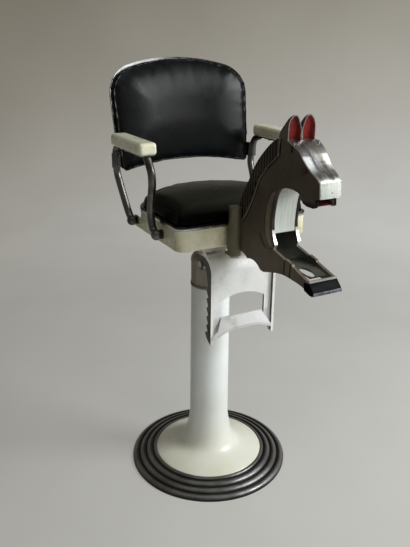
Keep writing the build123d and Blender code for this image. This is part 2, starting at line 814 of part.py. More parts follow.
def back_outline(outset, from_height=0):
    """Front view of the back, widened by outset, cut off below from_height."""
    half_top = back_low_half + (back_wide_half - back_low_half) * back_height / back_wide_height
    arch_radius = (back_low_half ** 2 + back_arch ** 2) / (2 * back_arch)
    with BuildSketch() as outline:
        Polygon((-back_low_half, 0), (back_low_half, 0), (half_top, back_height), (-half_top, back_height), align=None)
        with Locations((0, back_height - back_top_radius)):
            Circle(back_top_radius, mode=Mode.INTERSECT)
        with Locations((0, back_arch - arch_radius)):
            Circle(arch_radius, mode=Mode.SUBTRACT)
        fillet(outline.vertices().group_by(Axis.Y)[-1], back_top_corner)
        fillet(outline.vertices().group_by(Axis.Y)[0], back_low_corner)
        if outset:
            offset(amount=outset, mode=Mode.REPLACE)
        if from_height:
            with Locations((0, from_height)):
                Rectangle(4 * back_wide_half, 2 * back_height, align=(Align.CENTER, Align.MIN), mode=Mode.INTERSECT)
    return outline.sketch


def back_layer(front, rear, crown, outline):
    """Curved layer of the back between two depths behind its edge line, cut to an outline."""
    edge_sag = back_plan_radius - (back_plan_radius ** 2 - back_wide_half ** 2) ** 0.5
    front_sag = edge_sag - crown
    front_radius = (back_wide_half ** 2 + front_sag ** 2) / (2 * front_sag)
    if not crown:
        front_radius = back_plan_radius + front
    with BuildPart() as layer:
        with BuildSketch(back_plan.offset(-2 * bead_proud)):
            with Locations((0, -back_plan_radius)):
                Circle(back_plan_radius + rear)
            with Locations((0, front - crown - front_radius)):
                Circle(front_radius, mode=Mode.SUBTRACT)
        extrude(amount=back_height + 4 * bead_proud)
        with BuildSketch(back_front.offset(-2 * pad_front)):
            add(outline)
        extrude(amount=2 * pad_front + 2 * back_foot_y, mode=Mode.INTERSECT)
    return layer.part


# Padded leather back
with BuildPart() as back_cushion:
    add(back_layer(-pad_front, pad_rear, pad_crown, back_outline(0)))
    broad_faces = back_cushion.faces().sort_by(SortBy.AREA)[-2:]
    fillet(broad_faces[0].edges() + broad_faces[1].edges(), pad_round)

# Sheet behind the pad, with a chrome bead round its sides and top
shell_front = pad_rear + seat_gap
with BuildPart() as back_shell:
    add(back_layer(shell_front, shell_front + shell_thickness, 0, back_outline(-shell_inset)))
with BuildPart() as back_bead:
    with BuildSketch() as bead_outline:
        add(back_outline(bead_proud, bead_from))
        add(back_outline(-shell_inset), mode=Mode.SUBTRACT)
    add(back_layer(shell_front, shell_front + bead_depth, 0, bead_outline.sketch))

# Two clamps that hold the shell to the rear posts
brace_back, brace_up = rear_post_shares[5]
brace_x = ball_x + post_splay * brace_up
brace_y = rear_ball_y + brace_back * post_rise
with BuildPart() as back_brackets:
    with BuildSketch(Plane.XY.offset(back_foot_z + brace_low)):
        with Locations((brace_x, brace_y)):
            Circle(post_radius + brace_wall)
        with Locations((brace_x - brace_reach, brace_y + post_radius + brace_wall)):
            Rectangle(brace_thickness, brace_thickness, align=(Align.MIN, Align.MIN))
        make_hull()
    extrude(amount=brace_height)
    add(back_layer(-pad_front - seat_gap, shell_front + shell_thickness, pad_crown, back_outline(seat_gap)),
        mode=Mode.SUBTRACT)
    add(post_tube(post_points(rear_post_shares, ball_places(1)[1]), post_radius + press_fit), mode=Mode.SUBTRACT)
    mirror(about=Plane.YZ)

# Hinge plate on the pan's front, with an ear for the pin
hinge_y = -seat_front - hinge_ahead
hinge_plate_z = pan_z - hinge_plate_drop
hinge_plate_y = -seat_front - hinge_plate_thickness
with BuildPart() as horse_bracket:
    with BuildSketch(Plane.XZ.offset(seat_front)):
        with Locations((-hinge_plate_right, hinge_plate_z)):
            Rectangle(hinge_plate_right + hinge_plate_left, hinge_plate_drop + hinge_plate_rise,
                      align=(Align.MIN, Align.MIN))
        with Locations(*hinge_screw_places):
            Circle(hinge_screw_radius + press_fit, mode=Mode.SUBTRACT)
    extrude(amount=hinge_plate_thickness)
    with BuildSketch(Plane.XY.offset(hinge_plate_z)):
        with Locations((hinge_x, hinge_y)):
            Circle(hinge_ear_radius)
        with Locations((hinge_x, hinge_plate_y)):
            Rectangle(2 * hinge_ear_radius, hinge_plate_thickness, align=(Align.CENTER, Align.MIN))
        make_hull()
        with Locations((hinge_x, hinge_y)):
            Circle(hinge_pin_radius + press_fit, mode=Mode.SUBTRACT)
    extrude(amount=hinge_ear_thickness)

with BuildPart() as bracket_screws:
    with BuildSketch(Plane.XZ.offset(-hinge_plate_y)):
        with Locations(*hinge_screw_places):
            Circle(hinge_screw_head_radius)
    extrude(amount=hinge_screw_head)
    with BuildSketch(Plane.XZ.offset(-hinge_plate_y)):
        with Locations(*hinge_screw_places):
            Circle(hinge_screw_radius)
    extrude(amount=-hinge_plate_thickness - pan_wall)

# Pin, and the barrel of the horse's head that turns on it
hinge_ear_top_z = hinge_plate_z + hinge_ear_thickness
barrel_z = hinge_ear_top_z + seat_gap
barrel_bore = barrel_height - barrel_cap
with BuildPart() as hinge_pin:
    with BuildSketch(Plane.XY.offset(hinge_plate_z)):
        with Locations((hinge_x, hinge_y)):
            Circle(hinge_pin_head_radius)
    extrude(amount=-hinge_pin_head)
    with BuildSketch(Plane.XY.offset(hinge_plate_z)):
        with Locations((hinge_x, hinge_y)):
            Circle(hinge_pin_radius)
    extrude(amount=barrel_z + barrel_bore - seat_gap - hinge_plate_z)

with BuildPart() as horse_barrel:
    with BuildSketch(Plane.XY.offset(barrel_z)):
        with Locations((hinge_x, hinge_y)):
            Circle(barrel_radius)
    extrude(amount=barrel_height)
    with BuildSketch(Plane.XY.offset(barrel_z)):
        with Locations((hinge_x, hinge_y)):
            Circle(hinge_pin_radius + running_fit)
    extrude(amount=barrel_bore, mode=Mode.SUBTRACT)

# Block and rubber pad that the closed head rests against
rest_reach = horse_gap - hinge_plate_thickness - rest_pad_thickness - seat_gap
with BuildPart() as horse_rest:
    with BuildSketch(Plane.XZ.offset(-hinge_plate_y)):
        with Locations((rest_inner, pan_z + rest_rise)):
            Rectangle(rest_outer - rest_inner, rest_height, align=(Align.MIN, Align.MIN))
    extrude(amount=rest_reach)
with BuildPart() as rest_pad:
    with BuildSketch(Plane.XZ.offset(rest_reach - hinge_plate_y)):
        with Locations((rest_inner, pan_z + rest_rise)):
            Rectangle(rest_outer - rest_inner, rest_height, align=(Align.MIN, Align.MIN))
    extrude(amount=rest_pad_thickness)

# Footrest places, seen from the side: the crown bends forward of the pivot and the rims hang from it
bend_z = pivot_z - crown_drop
rest_front = pivot_y - rest_ahead
bend_y = rest_front + crown_radius_outer
crown_z = bend_z + crown_radius_outer
rim_back = rest_front + rim_depth
rim_tip_z = pivot_z - rim_tip_drop
heel = (rest_front + heel_depth, rim_tip_z + rim_heel_rise)
web_front = rest_front + web_recess


def rim_outline():
    """Side rim of the footrest: crown, pivot lug, stop, saw teeth and tip."""
    tooth_z = pivot_z - tooth_from
    teeth = []
    for tooth in range(tooth_count):
        root = tooth_z + tooth * tooth_pitch
        teeth += [(rim_back - tooth_depth, root), (rim_back, root + tooth_lower_share * tooth_pitch)]
    top_root = (rim_back - tooth_depth, tooth_z + tooth_count * tooth_pitch)
    sole_middle = ((rest_front + heel[0]) / 2, rim_tip_z + rim_heel_rise / 4)
    with BuildSketch() as outline:
        with BuildLine():
            CenterArc((bend_y, bend_z), crown_radius_outer, 90, 90)
            Line((rest_front, bend_z), (rest_front, rim_tip_z))
            ThreePointArc((rest_front, rim_tip_z), sole_middle, heel)
            Polyline(heel, *teeth, top_root, (rim_back, bend_z))
            CenterArc((bend_y, bend_z), crown_radius_outer - rim_depth, 180, -90)
            Polyline((bend_y, crown_z - rim_depth), (pivot_y, crown_z - rim_depth), (pivot_y, crown_z), (bend_y, crown_z))
        make_face()
        with Locations((pivot_y, pivot_z)):
            Circle(rest_lug_radius)
            Rectangle(stop_back, crown_radius_outer - crown_drop, align=(Align.MIN, Align.MIN))
            Circle(pivot_radius + running_fit, mode=Mode.SUBTRACT)
    return outline.sketch


def web_outline():
    """Section of the web, from behind the crown down to the tips, and of the sloping bar at its foot."""
    outer = crown_radius_outer - web_recess
    inner = outer - web_thickness
    web_back = web_front + web_thickness
    sill_z = pivot_z - window_bottom_drop
    foot_z = pivot_z - web_bottom_drop
    lip_y = web_front - bar_lip_reach
    with BuildSketch() as outline:
        with BuildLine():
            Polyline((bend_y, bend_z + outer), (pivot_y + web_rear, bend_z + outer),
                     (pivot_y + web_rear, bend_z + inner), (bend_y, bend_z + inner))
            CenterArc((bend_y, bend_z), inner, 90, 90)
            Polyline((web_back, bend_z), (web_back, rim_tip_z), (web_front, rim_tip_z), (web_front, bend_z))
            CenterArc((bend_y, bend_z), outer, 180, -90)
        make_face()
    with BuildSketch() as bar:
        Polygon((web_back, sill_z), (web_front, sill_z), (lip_y, sill_z - bar_slope_drop),
                (lip_y, sill_z - bar_slope_drop - bar_lip_height), (web_back, foot_z), align=None)
    return outline.sketch, bar.sketch


def web_cuts():
    """Front view of what is cut from the web: the arched window, and the hollow between the tips."""
    top_z = pivot_z - window_top_drop
    spring_z = pivot_z - window_spring_drop
    sill_z = pivot_z - window_bottom_drop
    low_sill_z = sill_z - window_bottom_fall
    foot_z = pivot_z - web_bottom_drop
    tip_z = pivot_z - web_tip_drop
    shin = ((web_bottom_half + 2 * web_half) / 3, (2 * foot_z + tip_z) / 3)
    with BuildSketch() as window:
        with BuildLine():
            ThreePointArc((window_half_width, spring_z), (0, top_z), (-window_half_width, spring_z))
            Polyline((-window_half_width, spring_z), (-window_half_width, low_sill_z), (-window_bottom_half, sill_z),
                     (window_bottom_half, sill_z), (window_half_width, low_sill_z), (window_half_width, spring_z))
        make_face()
        fillet(window.vertices().group_by(Axis.Y)[-1], window_corner)
    with BuildSketch() as hollow:
        with BuildLine():
            ThreePointArc((web_bottom_half, foot_z), shin, (web_half, tip_z))
            Polyline((web_half, tip_z), (web_half, tip_z - crown_drop), (-web_half, tip_z - crown_drop),
                     (-web_half, tip_z))
            ThreePointArc((-web_half, tip_z), (-shin[0], shin[1]), (-web_bottom_half, foot_z))
            Line((-web_bottom_half, foot_z), (web_bottom_half, foot_z))
        make_face()
    return window.sketch, hollow.sketch


# The footrest casting
with BuildPart() as footrest_frame:
    web, bar = web_outline()
    with BuildSketch(Plane.YZ.offset(-web_half)):
        add(web)
    extrude(amount=2 * web_half)
    with BuildSketch(Plane.XZ.offset(-pivot_y)):
        add(web_cuts())
    extrude(amount=2 * crown_radius_outer, mode=Mode.SUBTRACT)
    with BuildSketch(Plane.YZ.offset(-bar_half_width)):
        add(bar)
    extrude(amount=2 * bar_half_width)
    with BuildSketch(Plane.XY.offset(pivot_z)):
        for side in (1, -1):
            with Locations((side * (hanger_ear_x - side_gap), pivot_y - notch_reach)):
                Rectangle(hanger_ear_thickness + 2 * side_gap, notch_reach + stop_back,
                          align=(Align.MIN if side > 0 else Align.MAX, Align.MIN))
    extrude(amount=crown_radius_outer, mode=Mode.SUBTRACT)
    for rim_x in (-rim_outer_half, web_half):
        with BuildSketch(Plane.YZ.offset(rim_x)):
            add(rim_outline())
        extrude(amount=rim_thickness)

# Frame of the horse's head: shares count forward from its back edge and up from its underside
horse_back = -seat_front - horse_gap
horse_z = pan_z - horse_drop
plate_inner = plate_outer - plate_thickness


def head_point(share):
    """Place on the head, seen from the side, for a share of its length and of its height."""
    along, up = share
    return horse_back - along * horse_length, horse_z + up * horse_height


def head_points(shares):
    """Places on the head for a table of shares."""
    return [head_point(share) for share in shares]


def head_outline():
    """Side view of the head: mane, face, mouth, throat, leg, and the belly with its two scallops."""
    front_scallop, rear_scallop = scallop_shares
    with BuildSketch() as outline:
        with BuildLine():
            Polyline(*head_points(rear_shares))
            Spline(*head_points(mane_shares))
            Spline(*head_points(face_shares))
            Polyline(*head_points(muzzle_shares))
            Spline(*head_points(throat_shares))
            Polyline(*head_points(leg_shares))
            Spline(*head_points(belly_shares))
            Polyline(head_point(belly_shares[-1]), head_point(front_scallop[0]))
            ThreePointArc(*head_points(front_scallop))
            ThreePointArc(*head_points(rear_scallop))
        make_face()
    return outline.sketch


def strip(shares, width):
    """Strip of even width along a smooth line on the head."""
    with BuildSketch() as band:
        with BuildLine():
            Spline(*head_points(shares))
        trace(line_width=width)
    return band.sketch


def head_plan(inset, end_outer, bend_share, end_share):
    """Plan of the head, drawn in by inset: straight sides that bend towards its end."""
    start_y = horse_back + 2 * weld_tab
    bend_y = head_point((bend_share, 0))[0]
    end_y = head_point((end_share, 0))[0]
    half = plate_outer - inset
    end = plate_outer - inset + (end_outer - plate_outer) * (end_y - overrun - bend_y) / (end_y - bend_y)
    with BuildSketch() as plan:
        Polygon((-half, start_y), (-half, bend_y), (-end, end_y - overrun), (end, end_y - overrun), (half, bend_y),
                (half, start_y), align=None)
    return plan.sketch


def muzzle_plan(inset):
    """Plan of the upper head, which narrows to the muzzle."""
    return head_plan(inset, muzzle_outer, muzzle_bend_share, muzzle_end_share)


def leg_plan(inset):
    """Plan of the lower head, which widens to the hoof."""
    return head_plan(inset, hoof_outer, hoof_bend_share, 1)


split_z = head_point((0, split_share))[1]
horse_top_z = head_point((0, 1))[1]
eye_place = head_point(eye_share)
face_screw_place = head_point((face_screw_share, 1))


def mane_grooves():
    """Row of cut strokes between the raised line of the mane and the head's back edge."""
    first, last = groove_shares
    step = (last - first) / (groove_count - 1)
    line = head_points(mane_line_shares)
    with BuildSketch() as strokes:
        for groove in range(groove_count):
            stroke_y = head_point((first + groove * step, 0))[0]
            with Locations(Location((stroke_y, (split_z + horse_top_z) / 2), -groove_lean)):
                Rectangle(groove_width, horse_height)
    with BuildSketch() as field:
        with BuildLine():
            Polyline(*line, (horse_back + overrun, line[-1][1]), (horse_back + overrun, horse_top_z), line[0],
                     close=False)
        make_face()
        add(head_outline(), mode=Mode.INTERSECT)
        add(strip(mane_shares, 2 * groove_border), mode=Mode.SUBTRACT)
        add(strip(mane_line_shares, mane_line_width + 2 * relief_height), mode=Mode.SUBTRACT)
        add(strokes.sketch, mode=Mode.INTERSECT)
    return field.sketch


def leg_seams():
    """Fine cut lines on a side plate: two across the leg and one round the chest."""
    with BuildSketch() as seams:
        for share in leg_seam_shares:
            with Locations(head_point((share, 0))):
                Rectangle(seam_width, horse_height / 3)
        add(head_outline(), mode=Mode.INTERSECT)
        add(strip(seam_line_shares, seam_width))
    return seams.sketch


# One side plate of the head, on the right: bent in plan, cut to the outline, with its relief
with BuildPart() as side_plate:
    for plan, low, high in ((muzzle_plan, split_z, horse_top_z + overrun),
                            (leg_plan, horse_z - horse_height / 4, split_z)):
        with BuildSketch(Plane.XY.offset(low)):
            add(plan(0))
            add(plan(plate_thickness), mode=Mode.SUBTRACT)
        extrude(amount=high - low)
    with BuildSketch(Plane.YZ.offset(-2 * plate_outer)):
        add(head_outline())
    extrude(amount=2 * plate_outer, mode=Mode.INTERSECT)
    with BuildSketch(Plane.YZ.offset(-plate_outer)):
        add(strip(mane_line_shares, mane_line_width))
        add(strip(rib_shares, rib_width))
    extrude(amount=-relief_height)
    with BuildSketch(Plane.YZ.offset(-plate_outer)):
        add(mane_grooves())
    extrude(amount=groove_depth, mode=Mode.SUBTRACT)
    with BuildSketch(Plane.YZ.offset(-hoof_outer)):
        add(leg_seams())
    extrude(amount=hoof_outer - plate_outer + groove_depth, mode=Mode.SUBTRACT)
    with BuildSketch(Plane.YZ.offset(-2 * plate_outer)):
        Polygon(*head_points(hoof_shares), align=None)
        with Locations(eye_place):
            Circle(eye_radius)
    extrude(amount=2 * plate_outer, mode=Mode.SUBTRACT)
    with BuildSketch(Plane.XY.offset(horse_top_z)):
        with Locations((-(plate_outer + plate_inner) / 2, face_screw_place[0])):
            Circle(face_screw_radius + press_fit)
    extrude(amount=-face_screw_length, mode=Mode.SUBTRACT)

# The right plate is welded to the barrel along a tab behind its back edge
with BuildPart() as horse_plate_right:
    add(side_plate.part)
    with BuildSketch(Plane.YZ.offset(-plate_outer)):
        low, high = head_points(rear_shares)
        with Locations(low):
            Rectangle(weld_tab, high[1] - low[1], align=(Align.MIN, Align.MIN))
    extrude(amount=plate_thickness)
    with Locations((hinge_x, hinge_y, barrel_z)):
        Cylinder(barrel_radius, barrel_height, align=(Align.CENTER, Align.CENTER, Align.MIN), mode=Mode.SUBTRACT)
with BuildPart() as horse_plate_left:
    mirror(side_plate.part, about=Plane.YZ)


def between_plates(outline):
    """Piece that fills an outline between the two side plates."""
    with BuildPart() as piece:
        with BuildSketch(Plane.YZ.offset(-plate_outer)):
            add(outline)
        extrude(amount=2 * plate_outer)
        with BuildSketch(Plane.XY.offset(horse_z - horse_height / 4)):
            add(muzzle_plan(plate_thickness))
        extrude(amount=2 * horse_height, mode=Mode.INTERSECT)
    return piece.part


# Sheet inside the back edge, from the hinge up to the poll
with BuildSketch() as neck_outline:
    with BuildLine():
        Polyline(*head_points(rear_shares))
        Spline(*head_points(mane_shares))
    trace(line_width=2 * neck_sheet)
    add(head_outline(), mode=Mode.INTERSECT)
with BuildPart() as neck_plate:
    add(between_plates(neck_outline.sketch))

# Bright sheet under the jaw and down the chest
with BuildPart() as chest_plate:
    add(between_plates(strip(chest_shares, sheet)))

# Bright sheet over the face, bent down over the nose
ear_y = head_point((ear_front_share, 0))[0]
with BuildPart() as face_plate:
    with BuildSketch(Plane.YZ.offset(-plate_outer)):
        with BuildLine():
            Spline(*head_points(face_shares))
            Line(*head_points(muzzle_shares[:2]))
        trace(line_width=2 * sheet)
        with Locations(head_point(face_shares[-1])):
            Circle(sheet)
        add(head_outline(), mode=Mode.SUBTRACT)
        with Locations((ear_y - seat_gap, horse_top_z)):
            Rectangle(ear_depth, ear_height, align=(Align.MIN, Align.CENTER), mode=Mode.SUBTRACT)
    extrude(amount=2 * plate_outer)
    with BuildSketch(Plane.XY.offset(split_z)):
        add(muzzle_plan(0))
    extrude(amount=horse_height, mode=Mode.INTERSECT)
    with BuildSketch(Plane.XY.offset(horse_top_z + ear_height)):
        with Locations((0, face_screw_place[0])):
            with GridLocations(plate_outer + plate_inner, 0, 2, 1):
                Circle(face_screw_radius + press_fit)
    extrude(amount=-ear_height - face_screw_length, mode=Mode.SUBTRACT)

with BuildPart() as face_screws:
    with BuildSketch(Plane.XY.offset(horse_top_z - face_screw_length)):
        with Locations((0, face_screw_place[0])):
            with GridLocations(plate_outer + plate_inner, 0, 2, 1):
                Circle(face_screw_radius)
    extrude(amount=face_screw_length + face_screw_proud)

# Floor between the legs, with a slot beside the right plate
with BuildSketch() as floor_outline:
    add(strip(floor_shares, sheet))
    Polygon(*head_points(hoof_shares), align=None, mode=Mode.SUBTRACT)
with BuildPart() as leg_floor:
    add(between_plates(floor_outline.sketch))
    slot_y, slot_z = head_point((floor_hole_share, 0))
    with BuildSketch(Plane.XY.offset(slot_z - horse_height / 4)):
        with Locations((-floor_hole_x, slot_y)):
            Ellipse(floor_hole_width / 2, floor_hole_length / 2)
    extrude(amount=horse_height / 2, mode=Mode.SUBTRACT)

# Spacer rods between the plates
with BuildPart() as tie_rods:
    for share in rod_shares:
        with BuildSketch() as rod:
            with Locations(head_point(share)):
                Circle(rod_radius)
        add(between_plates(rod.sketch))


def ear_leaf(inset):
    """Front view of the left ear, drawn in by inset."""
    half = ear_half - inset
    height = ear_height - inset
    points = [(ear_centre + across * half, horse_top_z + up * height) for across, up in ear_leaf_shares]
    with BuildSketch() as leaf:
        with BuildLine():
            Polyline(points[-1], points[0], points[1])
            Spline(*points[1:-1], tangents=((0, 1), (0, -1)))
            Line(points[-2], points[-1])
        make_face()
    return leaf.sketch


# Ears: leaf-shaped in front, sloping back, with a hollow front, seated on the head's top edge
with BuildPart() as ear_left:
    with BuildSketch(Plane.XZ.offset(-ear_y)):
        add(ear_leaf(0))
    extrude(amount=-ear_depth)
    side_points = [(ear_y + back * ear_depth, horse_top_z + up * ear_height) for back, up in ear_side_shares]
    with BuildSketch(Plane.YZ):
        with BuildLine():
            Spline(*side_points)
            Polyline(side_points[-1], (ear_y, side_points[-1][1]), side_points[0])
        make_face()
    extrude(amount=2 * plate_outer, mode=Mode.INTERSECT)
    with BuildSketch(Plane.XZ.offset(-ear_y)):
        add(ear_leaf(ear_rim))
    with BuildSketch(Plane.XZ.offset(-ear_y - ear_hollow)):
        add(ear_leaf(ear_floor_inset))
    loft(mode=Mode.SUBTRACT)
    with BuildSketch(Plane.YZ):
        add(head_outline())
    extrude(amount=2 * plate_outer, mode=Mode.SUBTRACT)
with BuildPart() as ear_right:
    mirror(ear_left.part, about=Plane.YZ)

# Eyes let into the side plates
with BuildPart() as eyes:
    with BuildSketch(Plane.YZ.offset(plate_outer - eye_length)):
        with Locations(eye_place):
            Circle(eye_radius)
    extrude(amount=eye_length)
    mirror(about=Plane.YZ)

# Sloping floor of the mouth
with BuildSketch() as mouth_outline:
    Polygon(*head_points(mouth_shares), align=None)
with BuildPart() as mouth_plate:
    add(between_plates(mouth_outline.sketch))

# Hoof across the ends of the side plates, with a strip on its lower front and a bare lip on its top
with BuildPart() as hoof_block:
    with BuildSketch(Plane.YZ.offset(-hoof_outer)):
        Polygon(*head_points(hoof_shares), align=None)
    extrude(amount=2 * hoof_outer)
with BuildPart() as hoof_strip:
    with BuildSketch(Plane.YZ.offset(-hoof_outer)):
        with BuildLine():
            Polyline(*head_points(hoof_strip_shares))
        trace(line_width=2 * hoof_strip_thickness)
        Polygon(*head_points(hoof_shares), align=None, mode=Mode.SUBTRACT)
    extrude(amount=2 * hoof_outer)
with BuildPart() as leg_lip:
    with BuildSketch(Plane.YZ.offset(-plate_outer)):
        with Locations(head_point((lip_share, hoof_shares[0][1]))):
            Rectangle(lip_depth, 2 * lip_height, align=(Align.MIN, Align.MIN))
        Polygon(*head_points(hoof_shares), align=None, mode=Mode.SUBTRACT)
    extrude(amount=2 * plate_outer)
    add(horse_plate_right.part, mode=Mode.SUBTRACT)
    add(horse_plate_left.part, mode=Mode.SUBTRACT)

nodes = {
    "base_plate": base_plate, "column": column, "base_bolts": base_bolts, "swivel_bush": swivel_bush,
    "swivel_collar": swivel_collar, "thrust_washer": thrust_washer, "swivel_head": swivel_head,
    "spindle": spindle, "spindle_nut": spindle_nut, "mount_plate": mount_plate, "mount_bolts": mount_bolts,
    "hanger_bolts": hanger_bolts, "hanger_bar": hanger_bar, "footrest_pivots": footrest_pivots,
    "seat_pan": seat_pan, "seat_board": seat_board, "seat_trim": seat_trim, "seat_cushion": seat_cushion,
    "post_bosses": post_bosses, "post_front_right": post_front_right, "post_front_left": post_front_left,
    "post_rear_right": post_rear_right, "post_rear_left": post_rear_left, "armrest_right": armrest_right,
    "armrest_left": armrest_left, "arm_strap_right": arm_strap_right, "arm_strap_left": arm_strap_left,
    "arm_screws": arm_screws, "back_cushion": back_cushion, "back_shell": back_shell, "back_bead": back_bead,
    "back_brackets": back_brackets, "horse_bracket": horse_bracket, "bracket_screws": bracket_screws,
    "hinge_pin": hinge_pin, "horse_rest": horse_rest, "rest_pad": rest_pad, "footrest_frame": footrest_frame,
    "horse_barrel": horse_barrel, "horse_plate_right": horse_plate_right, "horse_plate_left": horse_plate_left,
    "neck_plate": neck_plate, "chest_plate": chest_plate, "face_plate": face_plate, "face_screws": face_screws,
    "leg_floor": leg_floor, "tie_rods": tie_rods, "ear_right": ear_right, "ear_left": ear_left, "eyes": eyes,
    "mouth_plate": mouth_plate, "hoof_block": hoof_block, "hoof_strip": hoof_strip, "leg_lip": leg_lip,
}
for name, piece in nodes.items():
    piece.part.label = name
    export_step(piece.part, f"parts/{name}.step")
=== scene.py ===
# %% [markdown]
# A child's barber chair. It stands on a ringed cast base with an enamelled column, has a leather seat and
# back on bent steel posts, a cast footrest, and a horse's head made of two painted side plates. The
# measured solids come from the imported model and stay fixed. This lesson dresses them: it rounds the edges
# of castings and sheets, stuffs the cushions, and mixes a worn finish for every surface.
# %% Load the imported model
import json
import math

import bmesh
import bpy
from mathutils import Matrix, Vector
from mathutils.kdtree import KDTree


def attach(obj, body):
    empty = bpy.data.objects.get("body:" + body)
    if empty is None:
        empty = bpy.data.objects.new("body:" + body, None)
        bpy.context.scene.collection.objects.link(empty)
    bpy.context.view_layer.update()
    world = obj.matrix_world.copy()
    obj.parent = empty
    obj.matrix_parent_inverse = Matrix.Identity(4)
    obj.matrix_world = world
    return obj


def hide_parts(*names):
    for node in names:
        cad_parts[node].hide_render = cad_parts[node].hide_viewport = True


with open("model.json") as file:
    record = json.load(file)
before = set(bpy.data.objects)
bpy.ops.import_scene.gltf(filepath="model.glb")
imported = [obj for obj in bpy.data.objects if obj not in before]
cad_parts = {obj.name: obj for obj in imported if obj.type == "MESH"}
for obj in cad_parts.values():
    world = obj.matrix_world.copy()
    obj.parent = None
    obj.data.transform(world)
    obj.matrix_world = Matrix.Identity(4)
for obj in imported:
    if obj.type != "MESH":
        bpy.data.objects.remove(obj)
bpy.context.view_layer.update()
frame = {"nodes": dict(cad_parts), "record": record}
solids = frame["nodes"]
body_of = {node: body for body, nodes in frame["record"]["behaviour"]["bodies"].items() for node in nodes}
mm = 0.001

# %% [markdown]
# A photograph's viewpoint can be matched by eye or worked out from its vanishing lines. Here it was worked
# out: the camera stands to the sitter's right, a little above the armrests, and looks down on the chair.
# The turn, tilt and roll are applied to a camera that first looks level along the chair's depth.
# %% Camera
image_height = 547
focal_pixels = 637
sensor = 36.0
camera_turn = math.radians(-28.47)
camera_tilt = math.radians(20.5)
camera_roll = math.radians(0.57)
camera_place = Vector((-0.783, -1.4125, 1.176))

camera = bpy.data.objects.new("camera", bpy.data.cameras.new("camera"))
bpy.context.scene.collection.objects.link(camera)
camera.data.sensor_width = sensor
camera.data.lens = sensor * focal_pixels / image_height
looking = (Matrix.Rotation(camera_turn, 4, "Z") @ Matrix.Rotation(math.pi / 2 - camera_tilt, 4, "X")
           @ Matrix.Rotation(camera_roll, 4, "Z"))
camera.matrix_world = Matrix.Translation(camera_place) @ looking
bpy.context.scene.camera = camera
bpy.context.scene.view_settings.view_transform = "Standard"
side_view = Vector((math.cos(camera_turn), math.sin(camera_turn), 0))
toward_camera = Vector((math.sin(camera_turn), -math.cos(camera_turn), 0))
print("lens", round(camera.data.lens, 1), "mm")

# %% [markdown]
# Materials are trees of nodes. Writing them node by node is long, so small helpers do the wiring: one
# starts a material with its plain values, one adds a node and either sets or links each input, and the
# rest are the patterns that the finishes share.
# %% Helpers for materials


def surface(name, colour, rough, metal=0.0, **sockets):
    """A material whose Principled BSDF has a colour, a roughness, a metal share and named extras."""
    made = bpy.data.materials.new(name)
    made.use_nodes = True
    shader = made.node_tree.nodes["Principled BSDF"]
    shader.inputs["Base Color"].default_value = (*colour, 1)
    shader.inputs["Roughness"].default_value = rough
    shader.inputs["Metallic"].default_value = metal
    for socket, value in sockets.items():
        shader.inputs[socket.replace("_", " ")].default_value = value
    made.diffuse_color = (*colour, 1)
    return made


def wire(material, kind, inputs, **settings):
    """Adds a node, sets its plain inputs and links the others, and gives back its first output."""
    made = material.node_tree.nodes.new("ShaderNode" + kind)
    for key, value in settings.items():
        setattr(made, key, value)
    for key, value in inputs.items():
        if isinstance(value, bpy.types.NodeSocket):
            material.node_tree.links.new(value, made.inputs[key])
        else:
            made.inputs[key].default_value = value
    return made.outputs[0]


def drive(material, socket, value):
    """Links a pattern to an input of the material's Principled BSDF."""
    material.node_tree.links.new(value, material.node_tree.nodes["Principled BSDF"].inputs[socket])


def place_on(material, stretch=(1, 1, 1), shift=(0, 0, 0)):
    """Object coordinates, stretched and shifted for a pattern."""
    coordinates = material.node_tree.nodes.new("ShaderNodeTexCoord").outputs["Object"]
    return wire(material, "Mapping", {"Vector": coordinates, "Scale": stretch, "Location": shift})


def parts_of(material, place):
    """The X, Y and Z of a place."""
    return wire(material, "SeparateXYZ", {"Vector": place}).node.outputs


def along_on(material, place, direction):
    """How far a place lies along a direction."""
    dot = wire(material, "VectorMath", {0: place, 1: direction}, operation="DOT_PRODUCT")
    return dot.node.outputs["Value"]


def reach_on(material):
    """How far out a point of the piece is from the chair's upright axis."""
    flat = place_on(material, (1, 1, 0))
    return wire(material, "VectorMath", {0: flat}, operation="LENGTH").node.outputs["Value"]


def cloud(material, scale, detail=4.0, stretch=(1, 1, 1), rough=0.55):
    """Soft noise over the piece, from 0 to 1."""
    return wire(material, "TexNoise", {"Vector": place_on(material, stretch), "Scale": scale,
                                       "Detail": detail, "Roughness": rough})


def grey(value):
    """A grey as a colour."""
    return (value, value, value)


def ramp(material, value, *stops):
    """A colour ramp through (place, colour) stops."""
    colours = wire(material, "ValToRGB", {"Fac": value})
    elements = colours.node.color_ramp.elements
    while len(elements) < len(stops):
        elements.new(0.5)
    for element, (place, colour) in zip(elements, stops):
        element.position = place
        element.color = (*colour, 1)
    return colours


def spread(material, value, low, high, start=0.3, end=0.7):
    """A number that runs from low to high while value runs from start to end."""
    return wire(material, "MapRange", {"Value": value, "From Min": start, "From Max": end, "To Min": low,
                                       "To Max": high})


def math_node(material, operation, first, second=0.0):
    """One sum of two numbers or patterns."""
    return wire(material, "Math", {0: first, 1: second}, operation=operation)


def mixed(material, share, first, second, blend="MIX"):
    """Two colours mixed by a share."""
    return wire(material, "MixRGB", {"Fac": share, "Color1": first, "Color2": second}, blend_type=blend)


def product(material, first, second):
    """Two colours multiplied, as a stain does to a paint."""
    return mixed(material, 1.0, first, second, "MULTIPLY")


def relief(material, *layers):
    """Chains bump nodes: each layer is a height pattern, a strength and a depth in metres."""
    normal = None
    for height, strength, depth in layers:
        inputs = {"Height": height, "Strength": strength, "Distance": depth}
        if normal:
            inputs["Normal"] = normal
        normal = wire(material, "Bump", inputs)
    drive(material, "Normal", normal)


